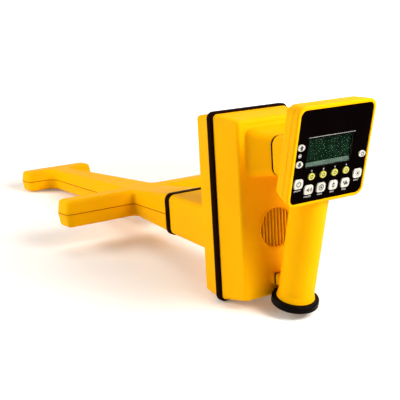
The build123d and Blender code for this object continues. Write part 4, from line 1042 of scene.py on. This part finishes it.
@dataclass
class KeyPanel:
    """Printing on the panel and its keys, in the panel's millimetres."""

    key_proud: float = 1.2
    ink: float = 0.05
    sunk: float = 0.03
    label_size: float = 2.5
    label_drop: float = 7.9
    tick_rise: float = 6.2
    tick: float = 0.9
    rule: Tuple[Point, Point] = ((-33.8, 20.4), (28.6, 20.4))
    rule_width: float = 0.3
    dot: float = 1.1
    ring: float = 1.9
    ring_width: float = 0.4
    prints: Tuple[Tuple[str, Mark, PrintedInk, str], ...] = (
        ("power_key", Mark.POWER, DARK_INK, "ON/OFF"),
        ("volume_key", Mark.VOLUME, DARK_INK, "VOLUME"),
        ("mode_key", Mark.MODE, DARK_INK, "MODE"),
        ("gain_key", Mark.GAIN, DARK_INK, "GAIN"),
        ("frequency_key", Mark.FREQUENCY, DARK_INK, "FREQ"),
        ("light_key", Mark.LIGHT, DARK_INK, "LIGHT"),
        ("up_key", Mark.UP, BLACK_INK, ""),
        ("down_key", Mark.DOWN, BLACK_INK, ""),
        ("select_key", Mark.SELECT, DARK_INK, ""),
        *((f"soft_key_{number}", Mark.SOFT, OLIVE_INK, "") for number in range(1, 5)),
    )

    def build(self, layout: Layout, workshop: Workshop) -> None:
        """Print the keys' signs, and the words, ticks and rule on the film.

        Args:
            layout: where the box and the panel lie.
            workshop: keeper of the materials, which takes the pieces.
        """
        print_work = Artwork(-self.sunk, self.ink)
        for node, mark, ink, label in self.prints:
            u, v = layout.key_spot(node)
            art = Artwork(self.key_proud - self.sunk, self.key_proud + self.ink)
            mark.draw(art, (u, v))
            slot = "yellow_key" if mark is Mark.SOFT else "white_key"
            workshop.place(node + "_mark", art.mesh(node + "_mark", layout.panel), node + "_body", slot, ink)
            if label:
                print_work.words(label, (u, v - self.label_drop), self.label_size)
            if mark is Mark.SOFT:
                low, high = v + self.tick_rise - self.tick, v + self.tick_rise + self.tick
                print_work.outline([(u - self.tick, low), (u + self.tick, low), (u, high)])
        above, below = layout.key_spot("up_key"), layout.key_spot("down_key")
        middle = ((above[0] + below[0]) / 2, (above[1] + below[1]) / 2)
        print_work.disc(middle, self.dot)
        print_work.arc(middle, self.ring, self.ring_width)
        print_work.stroke(self.rule, self.rule_width)
        mesh = print_work.mesh("panel_lettering", layout.panel)
        workshop.place("panel_lettering", mesh, RECEIVER, "panel_film", WHITE_INK)


@dataclass
class Display:
    """What shows behind the window, in millimetres: a printed border, a dark liner and a sill below, whose
    lighter grey is painted light from above.
    """

    width: float = 62.5
    height: float = 31.6
    centre: Point = (-2.6, 3.1)
    pane_back: float = -2.0
    pane_lap: float = 1.4
    border: float = 0.3
    border_film: float = 0.04
    back: float = -3.58
    slope: float = 0.7
    sill_height: float = 4.2
    sill_thin: float = 0.15
    clear: float = 0.06

    def ring(self, name: str, levels: Sequence[Tuple[float, float]], layout: Layout) -> Mesh:
        """Closed ring round the window.

        Args:
            name: name of the mesh.
            levels: how far each loop of the section stands outside the window, and its height, in order.
            layout: where the panel lies.

        Returns:
            The ring's mesh in metres.
        """
        u, v = self.centre
        shape = bmesh.new()
        loops = []
        for out, height in levels:
            half_w, half_h = self.width / 2 + out, self.height / 2 + out
            corners = ((-half_w, -half_h), (half_w, -half_h), (half_w, half_h), (-half_w, half_h))
            loops.append([shape.verts.new((u + x, v + y, height)) for x, y in corners])
        skin(shape, loops, closed=True)
        return plain_mesh(name, shape, layout.panel)

    def build(self, layout: Layout, workshop: Workshop) -> None:
        """Make the border, the liner and the sill.

        Args:
            layout: where the box and the panel lie.
            workshop: keeper of the materials, which takes the pieces.
        """
        under = self.pane_back - self.clear / 2
        outer, inner, wall = self.pane_lap, -self.border, -self.clear
        low, high = self.pane_back, self.pane_back + self.border_film
        film = [(outer, low), (outer, high), (inner, high), (inner, low)]
        walls = [(wall, under), (inner, under), (-self.slope, self.back), (wall, self.back)]
        border = self.ring("window_border", film, layout)
        workshop.place("window_border", border, RECEIVER, "panel_film", BORDER_INK)
        liner = self.ring("window_liner", walls, layout)
        workshop.place("window_liner", liner, RECEIVER, "display_cell", LINER_ABS)
        u, v = self.centre
        left, right = u - self.width / 2 + self.slope, u + self.width / 2 - self.slope
        foot = v - self.height / 2 + self.slope
        section = ((foot, self.back), (foot + self.sill_height, self.back), (foot, under - self.sill_thin))
        sill = bmesh.new()
        ends = [[sill.verts.new((x, y, height)) for y, height in section] for x in (left, right)]
        skin(sill, ends, closed=False)
        # The sill's lighter grey is painted light from above
        mesh = plain_mesh("window_sill", sill, layout.panel)
        workshop.place("window_sill", mesh, RECEIVER, "display_cell", SILL_PAINTED_LIGHT_ABS)


@dataclass
class WandSeam:
    """Sealing cord in the groove where the wand's half shells meet, in millimetres, whose brown is painted
    shade for the groove's shadow line.
    """

    drop: float = 30.0
    root: float = 136.2
    groove: float = 0.8
    cord: float = 0.5

    def path(self, shell: Object, layout: Layout) -> Mesh:
        """Line that the cord follows, found by cutting the lower shell just under its rim.

        Args:
            shell: lower half of the wand.
            layout: where the box lies.

        Returns:
            The outermost line of the cut, clear of the wand's root, as edges in millimetres.
        """
        cut = bmesh.new()
        cut.from_mesh(shell.data)
        cut.transform(layout.box.inverted() @ shell.matrix_world)
        bmesh.ops.remove_doubles(cut, verts=cut.verts, dist=SHELL_WELD_MM)
        level = Vector((0.0, 0.0, self.cord - self.groove - self.drop))
        across = Vector((0.0, self.root + self.cord, 0.0))
        along, upward = Vector((0.0, 1.0, 0.0)), Vector((0.0, 0.0, 1.0))
        for point, way, only_line in ((level, upward, True), (across, along, False)):
            bmesh.ops.bisect_plane(
                cut,
                geom=cut.verts[:] + cut.edges[:] + cut.faces[:],
                plane_co=point,
                plane_no=way,
                clear_inner=True,
                clear_outer=only_line,
            )
        for vertex in cut.verts:
            vertex.co.z = -self.drop
        kept = max(self.lines(cut), key=lambda line: max(vertex.co.x for vertex in line))
        bmesh.ops.delete(cut, geom=[v for v in cut.verts if v not in kept], context="VERTS")
        mesh = bpy.data.meshes.new("wand_seam_path")
        cut.to_mesh(mesh)
        cut.free()
        return mesh

    @staticmethod
    def lines(cut: BMesh) -> List[Set[BMVert]]:
        """Sort a cut's vertices into the lines that hang together.

        Args:
            cut: edges left by the cut.

        Returns:
            The vertices of each line.
        """
        left = set(cut.verts)
        lines: List[Set[BMVert]] = []
        while left:
            line: Set[BMVert] = set()
            ends = [left.pop()]
            while ends:
                here = ends.pop()
                line.add(here)
                beyond = [edge.other_vert(here) for edge in here.link_edges]
                ends += [vertex for vertex in beyond if vertex in left]
                left.difference_update(beyond)
            lines.append(line)
        return lines

    def tree(self) -> NodeTree:
        """Sweep a round cord along the edges it is given.

        Returns:
            The tree, with named inputs for its sizes.
        """
        tree = new_tree("seam_cord", ("Cord",))
        sizes = add_node(tree, "NodeGroupInput").outputs
        line = add_node(tree, "GeometryNodeMeshToCurve", {"Mesh": sizes["Start"]})
        end_tree(tree, sweep_round(tree, line.outputs["Curve"], sizes["Cord"]), sizes["Material"])
        return tree

    def build(self, layout: Layout, workshop: Workshop) -> None:
        """Lay the cord in the groove.

        Args:
            layout: where the box and the panel lie.
            workshop: keeper of the materials, which takes the pieces.
        """
        sizes = {"Cord": self.cord, "Material": workshop.material(SEAM_SHADE_CORD_RUBBER)}
        line = self.path(bpy.data.objects["wand_bottom_shell"], layout)
        mesh = run_tree("wand_seam_shade_cord", self.tree(), sizes, layout.box, line)
        workshop.place("wand_seam_shade_cord", mesh, RECEIVER, "black_rubber", SEAM_SHADE_CORD_RUBBER)


@dataclass
class CapThread:
    """Most of a turn of thread on the battery cap's plug, in millimetres, which works in the grip's bore."""

    standoff: float = 96.9
    top: float = -94.0
    turns: float = 0.85
    pitch: float = 2.5
    plug_radius: float = 17.4
    rib: float = 0.45
    steps: int = 96

    def tree(self) -> NodeTree:
        """Sweep a round rib along a helix.

        Returns:
            The tree, with named inputs for its sizes.
        """
        tree = new_tree("cap_thread", ("Turns", "Radius", "Height", "Rib"))
        sizes = add_node(tree, "NodeGroupInput").outputs
        helix = add_node(
            tree,
            "GeometryNodeCurveSpiral",
            {
                "Resolution": self.steps,
                "Rotations": sizes["Turns"],
                "Start Radius": sizes["Radius"],
                "End Radius": sizes["Radius"],
                "Height": sizes["Height"],
            },
        )
        end_tree(tree, sweep_round(tree, helix.outputs["Curve"], sizes["Rib"]), sizes["Material"])
        return tree

    def build(self, layout: Layout, workshop: Workshop) -> None:
        """Wind the thread round the plug above its seal.

        Args:
            layout: where the box and the panel lie.
            workshop: keeper of the materials, which takes the pieces.
        """
        height = self.turns * self.pitch
        sizes = {
            "Turns": self.turns,
            "Radius": self.plug_radius,
            "Height": height,
            "Rib": self.rib,
            "Material": workshop.material(BLACK_ABS),
        }
        lean = Matrix.Rotation(math.radians(layout.grip_lean), 4, "X")
        axis = Matrix.Translation((0.0, -self.standoff, 0.0)) @ lean
        foot = Matrix.Translation((0.0, 0.0, self.top - self.rib - height))
        mesh = run_tree("cap_thread", self.tree(), sizes, layout.box @ axis @ foot)
        workshop.place("cap_thread", mesh, CAP, "black_cap", BLACK_ABS)


def seen_from(azimuth: float, elevation: float) -> Vector:
    """Direction from the receiver to a viewer or lamp, by degrees from its front and above the floor."""
    a, e = math.radians(azimuth), math.radians(elevation)
    return Vector((math.sin(a) * math.cos(e), -math.cos(a) * math.cos(e), math.sin(e)))


@dataclass(frozen=True)
class Softbox:
    """Large square lamp aimed at the receiver, in degrees, metres and watts."""

    name: str
    azimuth: float
    elevation: float
    distance: float
    size: float
    power: float

    def build(self, target: Vector) -> None:
        """Hang the lamp and aim it.

        Args:
            target: point that it shines at.
        """
        lamp = bpy.data.lights.new(self.name, "AREA")
        lamp.energy = self.power
        lamp.size = self.size
        holder = link_object(self.name, lamp)
        back = seen_from(self.azimuth, self.elevation)
        holder.location = target + back * self.distance
        holder.rotation_euler = back.to_track_quat("Z", "Y").to_euler()


@dataclass
class Studio:
    """White floor and walls, soft light and the camera, in degrees and metres."""

    azimuth: float = -34.8
    elevation: float = 17.15
    roll: float = -0.66
    distance: float = 1.06088
    aside: float = -0.0600
    rise: float = 0.0007
    lens_mm: float = 82.92
    sensor_mm: float = 36.0
    sight_m: float = 200.0
    floor_m: float = 60.0
    floor_colour: str = "#F3F1EE"
    # Glow of the paper round the receiver: painted warm bounce light from the yellow receiver
    painted_bounce_glow: str = "#837669"
    far_glow: str = "#FFFFFF"
    lift_start_m: float = 0.36
    lift_end_m: float = 0.75
    sky: float = 0.04
    lamps: Tuple[Softbox, ...] = (
        Softbox("right_softbox", 34.0, 42.0, 1.8, 0.8, 22.5),
        Softbox("left_softbox", -124.0, 22.0, 1.8, 1.2, 27.0),
        Softbox("back_softbox", 172.0, 58.0, 1.8, 0.7, 6.0),
        Softbox("near_softbox", 18.0, 38.0, 0.8, 0.4, 4.6),
    )

    def camera(self, centre: Vector) -> None:
        """Set the camera at the photograph's angle.

        Args:
            centre: middle of the box, from which its place is measured.
        """
        a, r = math.radians(self.azimuth), math.radians(self.roll)
        back = seen_from(self.azimuth, self.elevation)
        right = Vector((math.cos(a), math.sin(a), 0.0))
        up = back.cross(right)
        lens = bpy.data.cameras.new("camera")
        lens.lens = self.lens_mm
        lens.sensor_width = self.sensor_mm
        lens.clip_end = self.sight_m
        holder = link_object("camera", lens)
        across = right * math.cos(r) - up * math.sin(r)
        along = right * math.sin(r) + up * math.cos(r)
        place = Matrix((across, along, back)).transposed().to_4x4()
        place.translation = centre + right * self.aside + up * self.rise + back * self.distance
        holder.matrix_world = place
        bpy.context.scene.camera = holder

    def floor(self) -> None:
        """Lay the white floor, which keeps the receiver's shadow and carries a painted warm bounce round the
        receiver.
        """
        half = self.floor_m / 2
        mesh = bpy.data.meshes.new("floor")
        corners = [(-half, -half, 0), (half, -half, 0), (half, half, 0), (-half, half, 0)]
        mesh.from_pydata(corners, [], [(0, 1, 2, 3)])
        floor = link_object("floor", mesh)
        paper = bpy.data.materials.new("white_paper")
        tree = cleared_tree(paper)
        seen = self.seen_rays(tree)
        where = add_node(tree, "ShaderNodeTexCoord").outputs["Object"]
        away = add_node(tree, "ShaderNodeVectorMath", {0: where}, operation="LENGTH")
        paler = add_node(
            tree,
            "ShaderNodeMapRange",
            {"Value": away.outputs["Value"], "From Min": self.lift_start_m, "From Max": self.lift_end_m},
            interpolation_type="SMOOTHSTEP",
        )
        coat = add_node(tree, "ShaderNodeBsdfDiffuse", {"Color": linear(self.floor_colour)})
        # Paper glows white far off; round the receiver its glow is warmer, painted warm bounce light from the
        # yellow receiver
        painted_bounce_tint = add_node(
            tree,
            "ShaderNodeMix",
            {
                MIX_FACTOR: paler.outputs["Result"],
                MIX_FIRST: linear(self.painted_bounce_glow),
                MIX_SECOND: linear(self.far_glow),
            },
            data_type="RGBA",
        )
        glow = add_node(tree, "ShaderNodeEmission", {"Color": painted_bounce_tint.outputs[MIX_RESULT], "Strength": seen})
        both = add_node(tree, "ShaderNodeAddShader", {0: coat.outputs[0], 1: glow.outputs[0]})
        add_node(tree, "ShaderNodeOutputMaterial", {"Surface": both.outputs[0]})
        mesh.materials.append(paper)

    @staticmethod
    def seen_rays(tree: NodeTree) -> NodeSocket:
        """Tell what the camera sees from what only lights the scene.

        Args:
            tree: tree that takes the nodes.

        Returns:
            A value that is 1 for what is seen directly, mirrored or through glass.
        """
        path = add_node(tree, "ShaderNodeLightPath").outputs
        seen = {0: path["Is Camera Ray"], 1: path["Is Glossy Ray"]}
        mirrored = add_node(tree, MATHS, seen, operation="MAXIMUM").outputs[0]
        through = {0: mirrored, 1: path["Is Transmission Ray"]}
        return add_node(tree, MATHS, through, operation="MAXIMUM").outputs[0]

    def sky_light(self) -> None:
        """Wrap the scene in even white light, and show white where the floor ends."""
        world = bpy.data.worlds.new("studio_walls")
        tree = cleared_tree(world)
        strength = add_node(
            tree,
            "ShaderNodeMapRange",
            {"Value": self.seen_rays(tree), "To Min": self.sky, "To Max": 1.0},
        )
        walls = add_node(
            tree,
            "ShaderNodeBackground",
            {"Color": linear(self.far_glow), "Strength": strength.outputs["Result"]},
        )
        add_node(tree, "ShaderNodeOutputWorld", {"Surface": walls.outputs[0]})
        bpy.context.scene.world = world

    def build(self) -> None:
        """Set up floor, light and camera."""
        low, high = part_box("box_gasket")
        centre = (low + high) / 2
        self.camera(centre)
        self.floor()
        self.sky_light()
        for lamp in self.lamps:
            lamp.build(centre)
        bpy.context.scene.view_settings.view_transform = "Standard"


def main() -> None:
    """Load the frame, dress the solids, build the other pieces in order and set the studio."""
    logging.basicConfig(level=logging.INFO, format="%(message)s")
    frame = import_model()
    layout = Layout.from_frame(frame)
    LOG.info("resting tilt %.2f degrees", layout.tilt)
    workshop = Workshop()
    workshop.dress(frame)
    for assembly in (WandSeam(), Grille(), KeyPanel(), Display(), CapThread()):
        assembly.build(layout, workshop)
    Studio().build()


if __name__ == "__main__":
    main()
